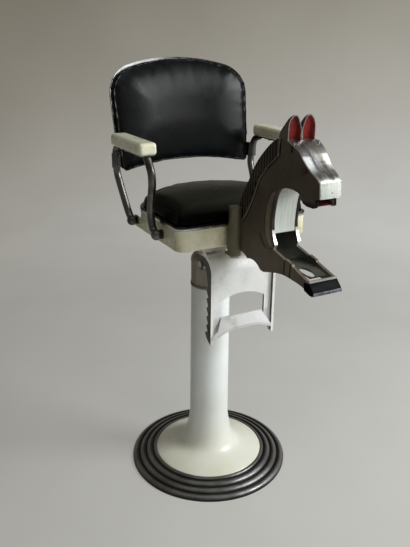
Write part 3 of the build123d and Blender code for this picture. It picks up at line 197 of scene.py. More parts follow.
# %% [markdown]
# The floor and backdrop are one spun sweep, as in a photographer's studio: a flat floor, a quarter round
# and a wall, so that no corner shows behind the chair.
# %% Floor and backdrop
floor_radius = 2.6
cove_radius = 0.9
cove_steps = 8
wall_height = 4.0
sweep_steps = 96
merge_gap = 0.1 * mm
inner_point = Vector((0, 0, 1.5))

sweep = bmesh.new()
corner = Vector((floor_radius, 0, cove_radius))
rim = [sweep.verts.new((0, 0, 0)), sweep.verts.new((floor_radius, 0, 0))]
for step in range(1, cove_steps + 1):
    angle = step / cove_steps * math.pi / 2
    rim.append(sweep.verts.new(corner + cove_radius * Vector((math.sin(angle), 0, -math.cos(angle)))))
rim.append(sweep.verts.new((floor_radius + cove_radius, 0, wall_height)))
rim_edges = [sweep.edges.new(pair) for pair in zip(rim, rim[1:])]
bmesh.ops.spin(sweep, geom=rim + rim_edges, cent=(0, 0, 0), axis=(0, 0, 1), angle=2 * math.pi,
               steps=sweep_steps, use_merge=True)
bmesh.ops.remove_doubles(sweep, verts=sweep.verts, dist=merge_gap)
for face in sweep.faces:
    face.smooth = True
    face.normal_update()
    if face.normal.dot(inner_point - face.calc_center_median()) < 0:
        face.normal_flip()
backdrop = bpy.data.objects.new("backdrop", bpy.data.meshes.new("backdrop"))
sweep.to_mesh(backdrop.data)
sweep.free()
bpy.context.scene.collection.objects.link(backdrop)
print("backdrop", len(backdrop.data.polygons), "faces")

# %% [markdown]
# Near the chair the sweep is a matt floor that takes the shadow, and the camera sees it mixed with the
# sweep's glow. Further out its light comes from itself and only the camera and reflections see it, so it
# never adds light to the chair. The glow's tone holds painted light and shade: darker up the wall and
# lighter to the right, towards the window.
# %% Paper of the backdrop
fade_near, fade_far = 1.0, 2.3
near_glow = 0.62
half_width = 1.6
tone_height = 1.5

paper = surface("studio_paper", (0.44, 0.435, 0.42), 0.9)
tree = paper.node_tree
where = place_on(paper)
across = along_on(paper, where, tuple(side_view))
# Painted shade up the wall and painted light towards the window on the right, both in the glow's tone.
wall_shade_tone = ramp(paper, spread(paper, parts_of(paper, where)["Z"], 0, 1, 0, tone_height),
                   (0.0, (0.46, 0.45, 0.42)), (0.45, (0.36, 0.34, 0.30)), (1.0, (0.26, 0.24, 0.195)))
window_side_light = ramp(paper, spread(paper, across, 0, 1, -half_width, half_width), (0.0, (0.70, 0.69, 0.66)),
                 (1.0, (1.24, 1.27, 1.31)))
crumple = ramp(paper, cloud(paper, 1.6, 3.0), (0.35, grey(0.95)), (0.65, grey(1.0)))
tone = product(paper, product(paper, wall_shade_tone, window_side_light), crumple)
drive(paper, "Base Color", product(paper, (0.74, 0.73, 0.70, 1), crumple))
glow = wire(paper, "Emission", {"Color": tone})
ray = tree.nodes.new("ShaderNodeLightPath").outputs
seen = math_node(paper, "MAXIMUM", ray["Is Camera Ray"], ray["Is Glossy Ray"])
seen = math_node(paper, "MAXIMUM", seen, ray["Is Transmission Ray"])
distance_share = spread(paper, reach_on(paper), 0, 1, fade_near, fade_far)
distance_share.node.interpolation_type = "SMOOTHSTEP"
clear = wire(paper, "BsdfTransparent", {})
outside = wire(paper, "MixShader", {"Fac": seen, 1: clear, 2: glow})
near_share = math_node(paper, "MULTIPLY", ray["Is Camera Ray"], near_glow)
near = wire(paper, "MixShader", {"Fac": near_share, 1: tree.nodes["Principled BSDF"].outputs[0], 2: glow})
shaded = wire(paper, "MixShader", {"Fac": distance_share, 1: near, 2: outside})
tree.links.new(shaded, tree.nodes["Material Output"].inputs["Surface"])
backdrop.data.materials.append(paper)
print(paper.name, len(tree.nodes), "nodes")

# %% [markdown]
# The light comes from a large window on the right, high enough to shine in the upper part of the back. A
# weaker lamp in front lifts the footrest and the pan. It makes no highlights, which would dull the black
# leather. Small lamps above and on the left fill the shadows. The world adds the ambient part: warm and
# dim on the left, cooler and brighter on the right, so that round metal gets its long soft streaks.
# %% Lamps and world


def area_lamp(name, place, target, size, power, colour):
    """A square lamp that looks at a target."""
    lamp = bpy.data.objects.new(name, bpy.data.lights.new(name, "AREA"))
    bpy.context.scene.collection.objects.link(lamp)
    lamp.data.size = size
    lamp.data.energy = power
    lamp.data.color = colour
    lamp.location = place
    lamp.rotation_euler = (place - target).to_track_quat("Z", "Y").to_euler()
    lamp.visible_camera = False
    return lamp


seat_middle = Vector((0, -0.1, 0.65))
world_strength = 0.34
for name, aside, nearer, up, size, power, colour in (
        ("window", 1.95, 0.35, 1.2, 1.0, 52, (0.97, 1.0, 1.0)),
        ("front", 1.0, 1.6, 0.8, 0.8, 7, (1.0, 1.0, 0.98)),
        ("crown", 0.8, 1.2, 2.9, 0.9, 3, (0.97, 1.0, 1.0)),
        ("overhead", -0.2, 0.2, 1.8, 1.2, 3.5, (1.0, 0.99, 0.96)),
        ("return", -1.1, 0.9, 2.0, 0.6, 1.6, (0.78, 0.91, 1.0))):
    place = seat_middle + aside * side_view + nearer * toward_camera + Vector((0, 0, up))
    area_lamp(name, place, seat_middle, size, power, colour).visible_glossy = name != "front"
    print("lamp", name, power, "W")

world = bpy.data.worlds.new("studio")
bpy.context.scene.world = world
world.use_nodes = True
sky = world.node_tree.nodes["Background"]
direction = world.node_tree.nodes.new("ShaderNodeTexCoord").outputs["Generated"]
facing = along_on(world, direction, tuple(side_view))
ambient = ramp(world, spread(world, facing, 0, 1, -1, 1), (0.0, (0.20, 0.18, 0.13)), (0.5, (0.30, 0.28, 0.24)),
               (1.0, (0.50, 0.51, 0.52)))
world.node_tree.links.new(ambient, sky.inputs["Color"])
sky.inputs["Strength"].default_value = world_strength

# %% [markdown]
# Every finish below starts from the colour of the real surface, then gets what age has done to it: stains,
# rubbed spots, uneven gloss and a fine relief. Some also get light and shade painted into their colour, said
# at each place. The patterns are read in object coordinates, so they stay on the piece from every side.
# %% Finishes of the pedestal: dark casting, white enamel and head steel
ring_pitch = 20.0 * mm
base_radius = 225.0 * mm
tint_low, tint_high = 0.02, 0.16


def cast_ring_finish():
    """Dark turned casting with turning marks, a painted highlight on each ring's crest and painted shade, near
    black, in the valleys.
    """
    made = surface("dark_casting", grey(0.13), 0.36, 0.85)
    out = reach_on(made)
    inward = math_node(made, "SUBTRACT", base_radius, out)
    share = math_node(made, "FRACT", math_node(made, "DIVIDE", inward, ring_pitch))
    # Painted highlight on each ring's crest and painted shade in its valleys.
    crest_light_valley_shade = ramp(made, share, (0.0, grey(0.03)), (0.12, grey(0.18)), (0.40, grey(0.27)),
                 (0.65, grey(0.07)), (0.9, grey(0.008)))
    stain = ramp(made, cloud(made, 14), (0.35, (0.62, 0.60, 0.57)), (0.65, grey(1.0)))
    drive(made, "Base Color", product(made, crest_light_valley_shade, stain))
    turning = wire(made, "TexNoise", {"W": out, "Scale": 900.0, "Detail": 2.0}, noise_dimensions="1D")
    drive(made, "Roughness", spread(made, cloud(made, 30), 0.28, 0.5))
    relief(made, (cloud(made, 160, 5), 0.35, 0.6 * mm), (turning, 0.15, 0.3 * mm))
    return made


def white_enamel_finish():
    """Thick white enamel: yellower and darker towards the foot, with a few dark specks and an orange-peel
    gloss.
    """
    made = surface("white_enamel", (0.88, 0.91, 0.90), 0.35, Coat_Weight=0.3, Coat_Roughness=0.22)
    rise = parts_of(made, place_on(made))["Z"]
    # The enamel is made yellower and darker towards the foot.
    foot_tint = ramp(made, spread(made, rise, 0, 1, tint_low, tint_high), (0.0, (0.84, 0.83, 0.70)),
                (0.35, (0.90, 0.91, 0.83)), (1.0, (0.91, 0.95, 0.95)))
    stain = ramp(made, cloud(made, 7, 5), (0.3, (0.92, 0.90, 0.84)), (0.6, grey(1.0)))
    body = product(made, foot_tint, stain)
    specks = wire(made, "TexVoronoi", {"Vector": place_on(made), "Scale": 34.0})
    dots = ramp(made, specks, (0.0, grey(1.0)), (0.04, grey(0.0)))
    rare = ramp(made, cloud(made, 9, 1), (0.56, grey(0.0)), (0.62, grey(1.0)))
    drive(made, "Base Color", mixed(made, math_node(made, "MULTIPLY", dots, rare), body,
                                    (0.13, 0.10, 0.07, 1)))
    drive(made, "Roughness", spread(made, cloud(made, 20), 0.26, 0.42))
    relief(made, (cloud(made, 90, 2), 0.12, 0.8 * mm))
    return made


def head_steel_finish():
    """Bare brownish steel with streaks of rust and grease that run down."""
    made = surface("head_steel", (0.22, 0.19, 0.165), 0.42, 0.55)
    streak = cloud(made, 22, 5, (1, 1, 0.22))
    drive(made, "Base Color", ramp(made, streak, (0.25, (0.10, 0.08, 0.066)), (0.5, (0.28, 0.24, 0.20)),
                                   (0.75, (0.44, 0.40, 0.36))))
    drive(made, "Roughness", spread(made, streak, 0.35, 0.6))
    relief(made, (cloud(made, 120, 4), 0.25, 0.5 * mm))
    return made


dark_casting = cast_ring_finish()
white_enamel = white_enamel_finish()
head_steel = head_steel_finish()
print("finishes of the pedestal:", dark_casting.name, white_enamel.name, head_steel.name)

# %% [markdown]
# The seat's finishes: the pan and armrests are a cream enamel that age has made uneven, the posts are dark
# polished steel with cloudy spots, the bead and the ring are chrome, the ring with a painted highlight low
# down and painted shade above, and the upholstery is black leather with a grain of small cells and a few
# soft wrinkles. The seat's leather is dull; a painted sheen makes its top lighter and a little brown, and
# painted shade makes its front near black.
# %% Finishes of the seat


def cream_enamel_finish(name, light, dark, rubbed):
    """Aged cream enamel with darker clouds and lighter rubbed places."""
    made = surface(name, light, 0.25, Coat_Weight=0.4, Coat_Roughness=0.1)
    age = ramp(made, cloud(made, 11, 5), (0.3, dark), (0.55, light), (0.8, rubbed))
    grime = ramp(made, cloud(made, 60, 6, rough=0.7), (0.3, (0.86, 0.83, 0.76)), (0.5, grey(1.0)))
    drive(made, "Base Color", product(made, age, grime))
    drive(made, "Roughness", spread(made, cloud(made, 26), 0.2, 0.42))
    relief(made, (cloud(made, 110, 3), 0.12, 0.6 * mm))
    return made


def metal_finish(name, colour, dark, rough_low, rough_high, grain=60.0):
    """Bare metal with cloudy tarnish, uneven gloss and a fine grain."""
    made = surface(name, colour, rough_low, 1.0)
    drive(made, "Base Color", ramp(made, cloud(made, grain / 3, 5), (0.3, dark), (0.6, colour)))
    drive(made, "Roughness", spread(made, cloud(made, grain), rough_low, rough_high))
    relief(made, (cloud(made, 4 * grain, 3), 0.1, 0.3 * mm))
    return made


def leather_finish(name, gloss):
    """Black leather: small cells, soft wrinkles and a shine that comes and goes."""
    made = surface(name, (0.006, 0.007, 0.008), 0.30, Specular_IOR_Level=gloss)
    cells = wire(made, "TexVoronoi", {"Vector": place_on(made), "Scale": 420.0})
    drive(made, "Base Color", ramp(made, cloud(made, 9, 5), (0.3, grey(0.002)), (0.7, (0.006, 0.007, 0.008))))
    drive(made, "Roughness", spread(made, cloud(made, 16, 5), 0.25, 0.34))
    relief(made, (cloud(made, 12, 4), 0.3, 2.0 * mm), (cells, 0.25, 0.25 * mm))
    return made


trim_low, trim_high = 0.758, 0.768
cushion_edge, cushion_top = 0.79, 0.82
cream_enamel = cream_enamel_finish("cream_enamel", (0.80, 0.77, 0.56), (0.60, 0.54, 0.33), (0.88, 0.88, 0.74))
arm_enamel = cream_enamel_finish("arm_enamel", (0.86, 0.85, 0.67), (0.72, 0.67, 0.46), (0.92, 0.93, 0.82))
dark_steel = metal_finish("dark_polished_steel", (0.15, 0.15, 0.145), (0.04, 0.038, 0.034), 0.28, 0.42)
plain_steel = metal_finish("plain_steel", (0.45, 0.44, 0.42), (0.25, 0.24, 0.22), 0.3, 0.5)
chrome = metal_finish("chrome", grey(0.07), (0.04, 0.04, 0.038), 0.16, 0.3)
trim_chrome = metal_finish("trim_chrome", grey(0.55), (0.30, 0.30, 0.29), 0.16, 0.3)
# Painted light on the trim ring: a painted highlight as a bright band low down, and painted shade, near black,
# on its upper part.
trim_rise = parts_of(trim_chrome, place_on(trim_chrome))["Z"]
drive(trim_chrome, "Base Color", ramp(trim_chrome, spread(trim_chrome, trim_rise, 0, 1, trim_low, trim_high),
                                      (0.0, grey(0.30)), (0.25, grey(0.72)), (0.45, grey(0.35)),
                                      (0.6, grey(0.03))))
bronze = metal_finish("bronze", (0.50, 0.34, 0.16), (0.32, 0.22, 0.12), 0.3, 0.5)
black_leather = leather_finish("black_leather", 0.15)
seat_leather = leather_finish("seat_leather", 0.04)
# Painted sheen and shade on the seat: the top is lighter and a little brown, the front near black.
seat_sheen_rise = spread(seat_leather, parts_of(seat_leather, place_on(seat_leather))["Z"], 0, 1, cushion_edge,
                   cushion_top)
drive(seat_leather, "Base Color", ramp(seat_leather, seat_sheen_rise, (0.0, grey(0.001)),
                                       (0.6, (0.019, 0.019, 0.014))))
shell_black = surface("shell_lacquer", (0.02, 0.02, 0.021), 0.35, Coat_Weight=0.3)
drive(shell_black, "Roughness", spread(shell_black, cloud(shell_black, 18), 0.28, 0.5))
relief(shell_black, (cloud(shell_black, 140), 0.15, 0.4 * mm))
plywood = surface("plywood", (0.42, 0.28, 0.15), 0.7)
drive(plywood, "Base Color", ramp(plywood, cloud(plywood, 12, 4, (1, 8, 30)), (0.3, (0.30, 0.19, 0.10)),
                                  (0.7, (0.50, 0.35, 0.20))))
rubber = surface("black_rubber", grey(0.02), 0.75)
drive(rubber, "Roughness", spread(rubber, cloud(rubber, 50), 0.6, 0.85))
relief(rubber, (cloud(rubber, 300), 0.3, 0.3 * mm))
print("finishes so far:", len(bpy.data.materials))

# %% [markdown]
# The footrest is bare cast aluminium: whitish and sandy in the skin, with painted shade that makes its bar
# greyer. The horse's plates have a dark metallic paint. The mane, the throat's rib and the seams are
# finer than a rounded edge, so the side plates' paint draws them, the mane and the rib with painted light and
# shade. Places on the head are shares: how far forward from its back edge and how far up from its underside,
# and lines are (up, forward) points. The face is a bright sheet with rolled streaks and painted highlights,
# and the chest and the nose have old white paint.
# %% Finishes of the footrest and the horse's head
bar_top = (0.516, 0.524)
bar_end = (0.078, 0.084)
head_back_y = -196.0 * mm
head_low_z = 700.0 * mm
head_length = 290.0 * mm
head_height = 280.0 * mm
mane_line = ((0.262, 0.034), (0.356, 0.105), (0.466, 0.173), (0.57, 0.221), (0.669, 0.267), (0.776, 0.362),
             (0.885, 0.499), (0.987, 0.506))
rib_back = ((0.161, 0.463), (0.232, 0.389), (0.308, 0.366), (0.411, 0.367), (0.496, 0.386), (0.596, 0.437),
            (0.622, 0.476))
rib_front = ((0.193, 0.503), (0.248, 0.481), (0.323, 0.459), (0.413, 0.455), (0.515, 0.468), (0.623, 0.516))
chest_seam = ((0.15, 0.383), (0.24, 0.300))
leg_seams = (0.6405, 0.715)
stroke_pitch = 0.035
seam_half, seam_fade = 0.005, 0.009
face_down = (0.0, -0.795, -0.6066)
face_start = -0.2859
face_long = 0.110
face_half = 0.036
mouth_low = head_low_z + 0.578 * head_height
mouth_depth = 16 * mm


def cast_aluminium_finish():
    """Whitish sand-cast aluminium with grey rubbed clouds and small pits, and painted shade that makes the bar
    greyer.
    """
    made = surface("cast_aluminium", (0.78, 0.78, 0.77), 0.5, Specular_IOR_Level=0.3)
    tone = ramp(made, cloud(made, 13, 6, rough=0.6), (0.30, (0.58, 0.57, 0.54)), (0.42, (0.80, 0.80, 0.78)),
                (0.6, (0.88, 0.88, 0.87)))
    place = parts_of(made, place_on(made))
    # Painted shade: the bar and the casting below it, between its ends, are made greyer.
    bar_shade = math_node(made, "MULTIPLY", spread(made, place["Z"], 1, 0, *bar_top),
                       spread(made, math_node(made, "ABSOLUTE", place["X"]), 1, 0, *bar_end))
    tone = mixed(made, bar_shade, tone, product(made, tone, (0.74, 0.74, 0.75, 1)))
    pits = ramp(made, cloud(made, 110, 3, rough=0.7), (0.27, (0.66, 0.64, 0.61)), (0.36, grey(1.0)))
    drive(made, "Base Color", product(made, tone, pits))
    drive(made, "Roughness", spread(made, cloud(made, 28, 4), 0.42, 0.62))
    relief(made, (cloud(made, 35, 4), 0.25, 1.2 * mm), (cloud(made, 260, 3), 0.25, 0.3 * mm))
    return made


def horse_paint_finish(name, colour, dark):
    """Dark metallic paint, brushed on, with a slightly uneven film."""
    made = surface(name, colour, 0.42, 0.35)
    drive(made, "Base Color", ramp(made, cloud(made, 16, 6, (1, 1, 0.6)), (0.3, dark), (0.62, colour)))
    drive(made, "Roughness", spread(made, cloud(made, 22, 5), 0.34, 0.55))
    relief(made, (cloud(made, 240, 3), 0.18, 0.3 * mm), (cloud(made, 18, 3), 0.12, 1.5 * mm))
    return made


def line_place(material, up, line):
    """How far forward a line lies at each height, read through a ramp as a grey."""
    return ramp(material, up, *((height, grey(along)) for height, along in line))


def side_paint_finish():
    """The side plates' paint, with painted shade for the mane's grooves, a painted highlight on its raised line
    with painted shadow beside it, painted light and shade on the throat's rib, and the seams.
    """
    made = surface("side_paint", (0.07, 0.06, 0.047), 0.42, 0.15, Specular_IOR_Level=0.12)
    head = parts_of(made, place_on(made, (1, -1 / head_length, 1 / head_height),
                                   (0, head_back_y / head_length, -head_low_z / head_height)))
    along, up = head["Y"], head["Z"]
    past_line = math_node(made, "SUBTRACT", along, line_place(made, up, mane_line))
    share = math_node(made, "FRACT", math_node(made, "DIVIDE", along, stroke_pitch))
    # Painted shade standing for the mane's grooves, drawn as black strokes.
    groove_shade = ramp(made, share, (0.0, grey(1)), (0.46, grey(1)), (0.58, grey(0)), (0.9, grey(0)), (1.0, grey(1)))
    above = spread(made, up, 0, 1, 0.25, 0.27)
    field = math_node(made, "MULTIPLY", spread(made, past_line, 1, 0, -0.021, -0.013), above)
    groove_shade = math_node(made, "MULTIPLY", groove_shade, field)
    # A painted highlight along the mane's raised line, and a painted shadow beside it.
    line_highlight = ramp(made, spread(made, past_line, 0, 1, -0.02, 0.04), (0.20, grey(0)), (0.36, grey(1)),
                     (0.46, grey(0)))
    shadow = ramp(made, spread(made, past_line, 0, 1, -0.02, 0.04), (0.42, grey(0)), (0.5, grey(1)),
                  (0.62, grey(1)), (0.74, grey(0)))
    # The black mask: painted shade of the grooves and of the line's shadow, then the dark seams below.
    dark = math_node(made, "MAXIMUM", groove_shade, math_node(made, "MULTIPLY", shadow, above))
    low = spread(made, up, 1, 0, 0.115, 0.125)
    for place in leg_seams:
        off = math_node(made, "ABSOLUTE", math_node(made, "SUBTRACT", along, place))
        seam = spread(made, off, 1, 0, seam_half, seam_fade)
        dark = math_node(made, "MAXIMUM", dark, math_node(made, "MULTIPLY", seam, low))
    off = math_node(made, "SUBTRACT", along, line_place(made, up, chest_seam))
    seam = spread(made, math_node(made, "ABSOLUTE", off), 1, 0, seam_half, seam_fade)
    gate = math_node(made, "MULTIPLY", spread(made, up, 0, 1, 0.145, 0.155),
                     spread(made, up, 1, 0, 0.235, 0.245))
    dark = math_node(made, "MAXIMUM", dark, math_node(made, "MULTIPLY", seam, gate))
    back = line_place(made, up, rib_back)
    wide = math_node(made, "SUBTRACT", line_place(made, up, rib_front), back)
    across = math_node(made, "DIVIDE", math_node(made, "SUBTRACT", along, back), wide)
    # Painted light and shade across the throat's rib: dark at its edges, light in its middle.
    rib = ramp(made, spread(made, across, 0, 1, -0.3, 1.1), (0.10, grey(0.5)), (0.21, grey(0.12)),
               (0.30, grey(1.0)), (0.60, grey(1.0)), (0.75, grey(0.5)), (0.95, grey(0.15)))
    inside = math_node(made, "MULTIPLY", spread(made, up, 0, 1, 0.16, 0.19),
                       spread(made, up, 1, 0, 0.60, 0.625))
    rib = mixed(made, inside, (0.5, 0.5, 0.5, 1), rib)
    paint = ramp(made, cloud(made, 16, 6, (1, 1, 0.6)), (0.3, (0.062, 0.050, 0.038)),
                 (0.62, (0.092, 0.076, 0.058)))
    paint = product(made, paint, product(made, rib, (2.0, 2.0, 2.0, 1)))
    # The paint is made darker towards the top of the head.
    darker_higher = ramp(made, up, (0.05, grey(1.0)), (0.55, grey(0.55)))
    paint = product(made, product(made, paint, darker_higher), (1.9, 1.9, 1.9, 1))
    lit = mixed(made, math_node(made, "MULTIPLY", line_highlight, above), paint, (0.34, 0.30, 0.25, 1))
    drive(made, "Base Color", mixed(made, dark, lit, (0.001, 0.001, 0.001, 1)))
    drive(made, "Roughness", spread(made, cloud(made, 22, 5), 0.36, 0.56))
    height = math_node(made, "ADD", math_node(made, "SUBTRACT", line_highlight, dark), rib)
    relief(made, (cloud(made, 240, 3), 0.18, 0.3 * mm), (height, 0.5, 1.2 * mm))
    return made


def face_finish():
    """The face's bright sheet: rolled streaks, and painted highlights, white, on both sides and fainter down
    the middle.
    """
    made = surface("face_sheet", (0.78, 0.78, 0.77), 0.3, 1.0)
    where = place_on(made)
    down = spread(made, along_on(made, where, face_down), 0, 1, face_start, face_start + face_long)
    across = spread(made, parts_of(made, where)["X"], 0, 1, -face_half, face_half)
    black, white = grey(0), grey(1)
    # Painted highlights standing for the sheet's reflections: white patches with less metal.
    near = math_node(made, "MULTIPLY",
                     ramp(made, down, (0.30, black), (0.35, white), (0.54, white), (0.75, black)),
                     ramp(made, across, (0.02, black), (0.07, white), (0.26, white), (0.36, black)))
    brow = math_node(made, "MULTIPLY",
                     ramp(made, down, (0.10, black), (0.30, grey(0.35)), (0.55, grey(0.3)), (0.7, black)),
                     ramp(made, across, (0.36, black), (0.42, white), (0.54, white), (0.60, black)))
    far = math_node(made, "MULTIPLY",
                    ramp(made, down, (0.26, black), (0.31, white), (0.48, white), (0.66, black)),
                    ramp(made, across, (0.70, black), (0.76, white), (1.0, white)))
    painted_highlights = math_node(made, "MAXIMUM", math_node(made, "MAXIMUM", near, far), brow)
    streak = cloud(made, 40, 5, (3, 0.5, 0.5))
    sheet = ramp(made, streak, (0.3, (0.28, 0.28, 0.27)), (0.62, (0.50, 0.50, 0.49)))
    warm = ramp(made, across, (0.5, grey(1.0)), (0.66, (0.74, 0.66, 0.57)), (0.78, grey(1.0)))
    drive(made, "Base Color", mixed(made, painted_highlights, product(made, sheet, warm), (0.86, 0.89, 0.90, 1)))
    drive(made, "Metallic", spread(made, painted_highlights, 1.0, 0.25, 0, 1))
    drive(made, "Roughness", spread(made, streak, 0.24, 0.4))
    relief(made, (cloud(made, 160, 3, (3, 0.5, 0.5)), 0.1, 0.3 * mm), (painted_highlights, 0.4, 1.5 * mm))
    return made


def mouth_finish():
    """The mouth's floor: red, paler at its lower edge, with painted shade that turns it black inside."""
    made = surface("mouth_red", (0.30, 0.014, 0.010), 0.5)
    rise = parts_of(made, place_on(made))["Z"]
    # Painted shade inside the mouth: the floor darkens to black higher up.
    tone = ramp(made, spread(made, rise, 0, 1, mouth_low, mouth_low + mouth_depth), (0.0, (0.42, 0.13, 0.11)),
                (0.16, (0.16, 0.009, 0.006)), (0.45, (0.06, 0.004, 0.003)), (0.75, (0.006, 0.002, 0.002)))
    drive(made, "Base Color", tone)
    drive(made, "Roughness", spread(made, cloud(made, 80), 0.4, 0.6))
    return made


def old_white_finish(name, light, dark, scratch_share):
    """Worn white paint on metal with scratches and grey wear."""
    made = surface(name, light, 0.6, Specular_IOR_Level=0.25)
    base = ramp(made, cloud(made, 10, 5), (0.3, dark), (0.6, light))
    scratch = ramp(made, cloud(made, 120, 6, (0.7, 1, 2.6), rough=0.75),
                   (scratch_share - 0.05, (0.10, 0.09, 0.08)), (scratch_share, grey(1.0)))
    lines = ramp(made, cloud(made, 90, 3, (5, 1, 0.15)), (0.35, (0.84, 0.84, 0.83)), (0.6, grey(1.0)))
    drive(made, "Base Color", product(made, product(made, base, scratch), lines))
    drive(made, "Roughness", spread(made, cloud(made, 40), 0.5, 0.7))
    relief(made, (cloud(made, 130, 4), 0.2, 0.3 * mm))
    return made


cast_aluminium = cast_aluminium_finish()
# This dark paint is painted shade on the footrest's rim sides, backs and undersides, and on its cut sides.
rim_shade_dark = horse_paint_finish("rim_shade_dark", (0.13, 0.12, 0.095), (0.05, 0.045, 0.035))
horse_paint = horse_paint_finish("horse_paint", (0.075, 0.064, 0.050), (0.050, 0.041, 0.032))
barrel_paint = horse_paint_finish("barrel_paint", (0.155, 0.140, 0.090), (0.095, 0.085, 0.055))
trough_paint = horse_paint_finish("trough_paint", (0.095, 0.098, 0.080), (0.055, 0.058, 0.046))
# A black used as painted shade: in the grooves left on the plates and on the ends of the jaw round the mouth.
black_shade = surface("black_shade", (0.006, 0.005, 0.005), 0.7, Specular_IOR_Level=0.08)
drive(black_shade, "Roughness", spread(black_shade, cloud(black_shade, 60), 0.5, 0.7))
side_paint = side_paint_finish()
face_sheet = face_finish()
mouth_red = mouth_finish()
bare_edge = metal_finish("bare_edge", (0.80, 0.79, 0.77), (0.55, 0.53, 0.50), 0.25, 0.4)
ear_edge = metal_finish("ear_edge", (0.36, 0.35, 0.34), (0.28, 0.27, 0.26), 0.3, 0.45)
chest_white = old_white_finish("chest_white", (0.66, 0.69, 0.65), (0.54, 0.56, 0.51), 0.26)
nose_white = old_white_finish("nose_white", (0.76, 0.79, 0.74), (0.64, 0.66, 0.60), 0.395)
ear_red = surface("ear_red", (0.34, 0.016, 0.009), 0.42, Specular_IOR_Level=0.3)
drive(ear_red, "Base Color", ramp(ear_red, cloud(ear_red, 45, 5), (0.3, (0.08, 0.005, 0.004)),
                                  (0.6, (0.20, 0.010, 0.007))))
drive(ear_red, "Roughness", spread(ear_red, cloud(ear_red, 80), 0.32, 0.5))
eye_red = surface("eye_red", (0.04, 0.003, 0.003), 0.3, Specular_IOR_Level=0.3)
drive(eye_red, "Roughness", spread(eye_red, cloud(eye_red, 200), 0.25, 0.4))
hoof_black = surface("hoof_black", (0.003, 0.003, 0.004), 0.35, Specular_IOR_Level=0.02)
drive(hoof_black, "Roughness", spread(hoof_black, cloud(hoof_black, 40, 5), 0.25, 0.45))
relief(hoof_black, (cloud(hoof_black, 60, 4), 0.2, 0.6 * mm))
hoof_steel = metal_finish("hoof_steel", (0.22, 0.24, 0.28), (0.03, 0.03, 0.035), 0.25, 0.5, 200.0)
print("finishes in all:", len(bpy.data.materials))

# %% [markdown]
# Most solids already have their right shape, so they stay and only take a finish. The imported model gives
# each one a material slot, and the slot's material is swapped for the finish made here.
# %% Finishes on the solids that stay
for finish, *nodes in (
        (dark_casting, "base_plate"), (head_steel, "swivel_head", "swivel_collar"),
        (plain_steel, "base_bolts", "thrust_washer", "spindle", "spindle_nut", "mount_bolts", "hanger_bolts",
         "footrest_pivots", "arm_screws", "bracket_screws", "hinge_pin", "tie_rods", "face_screws"),
        (bronze, "swivel_bush"), (cream_enamel, "seat_pan"), (chrome, "back_bead"), (trim_chrome, "seat_trim"),
        (dark_steel, "post_bosses", "post_front_right", "post_front_left", "post_rear_right", "post_rear_left",
         "arm_strap_right", "arm_strap_left", "back_brackets"),
        (shell_black, "back_shell"), (plywood, "seat_board"), (rubber, "rest_pad")):
    for node in nodes:
        for holder in solids[node].material_slots:
            holder.material = finish
    print(finish.name, "on", *nodes)

# %% [markdown]
# A sharp computed edge looks false: a casting, a cut plate or a folded sheet has a small round on every
# edge that catches the light. A copy of the solid is joined from its loose triangles, its sharp edges are
# bevelled, and it takes the solid's place.
# %% Helpers for rounded copies
weld_gap = 0.002 * mm
flat_angle = math.radians(0.5)
sharp_angle = math.radians(32)


def joined_copy(node):
    """One skin with whole flat faces, made from a solid's loose triangles."""
    skin = bmesh.new()
    skin.from_mesh(solids[node].data)
    bmesh.ops.remove_doubles(skin, verts=skin.verts, dist=weld_gap)
    bmesh.ops.dissolve_limit(skin, angle_limit=flat_angle, verts=skin.verts, edges=skin.edges)
    for face in skin.faces:
        face.material_index = 0
    return skin


def soften(skin, width, steps=2):
    """Rounds the sharp edges of a skin."""
    edges = [edge for edge in skin.edges if edge.is_manifold and edge.calc_face_angle() > sharp_angle]
    bmesh.ops.bevel(skin, geom=edges, offset=width, offset_type="OFFSET", segments=steps, profile=0.5,
                    affect="EDGES", clamp_overlap=True, material=-1)


def show(skin, name, body, slot, *finishes, stands_for=()):
    """Makes a skin a piece that rides on a body and wears the finishes given; the slot is not used."""
    skin.normal_update()
    for edge in skin.edges:
        edge.smooth = edge.is_manifold and edge.calc_face_angle() < sharp_angle
    for face in skin.faces:
        face.smooth = True
    piece = bpy.data.objects.new(name, bpy.data.meshes.new(name))
    skin.to_mesh(piece.data)
    skin.free()
    bpy.context.scene.collection.objects.link(piece)
    for finish in finishes:
        piece.data.materials.append(finish)
    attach(piece, body)
    if stands_for:
        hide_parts(*stands_for)
    print(name, len(piece.data.polygons), "faces")
    return piece


def shade_evenly(piece):
    """Keeps the shading of large faces flat up to their rounded edges."""
    piece.modifiers.new("even shading", "WEIGHTED_NORMAL").keep_sharp = True


# %% [markdown]
# The column's foot runs into the dome without any edge. A profile with a steep tail that dies away over the
# dome is spun round the axis, with the wall and bore of the measured casting.
# %% Column with a flowing foot
column_top_z = 545.0 * mm
column_low_radius = 55.2 * mm
column_top_radius = 52.6 * mm
dome_radius = 90.0 * mm
dome_height = 45.0 * mm
dome_bulge = 3.0 * mm
foot_wall = 7.0 * mm
dome_wall = 9.0 * mm
tail_height = 100.0 * mm
tail_width = 12.0 * mm
foot_round = 1.5 * mm
foot_steps = 48
column_sides = 128
bush_low_z = column_top_z - 60 * mm

column_points = [vert.co for vert in solids["column"].data.vertices]
foot_radius = max(point.xy.length for point in column_points)
foot_low = min(point.z for point in column_points)
foot_high = max(point.z for point in column_points if point.xy.length > foot_radius - merge_gap)
bore_radius = min(point.xy.length for point in column_points if point.z > column_top_z - mm)


def foot_height(radius):
    """The foot's height at a radius: a low dome and the column's tail."""
    share = (foot_radius - radius) / (foot_radius - dome_radius)
    dome = foot_high + (dome_height - foot_high) * share + 4 * dome_bulge * share * (1 - share)
    return dome + tail_height * math.exp(-(radius - column_low_radius) / tail_width)


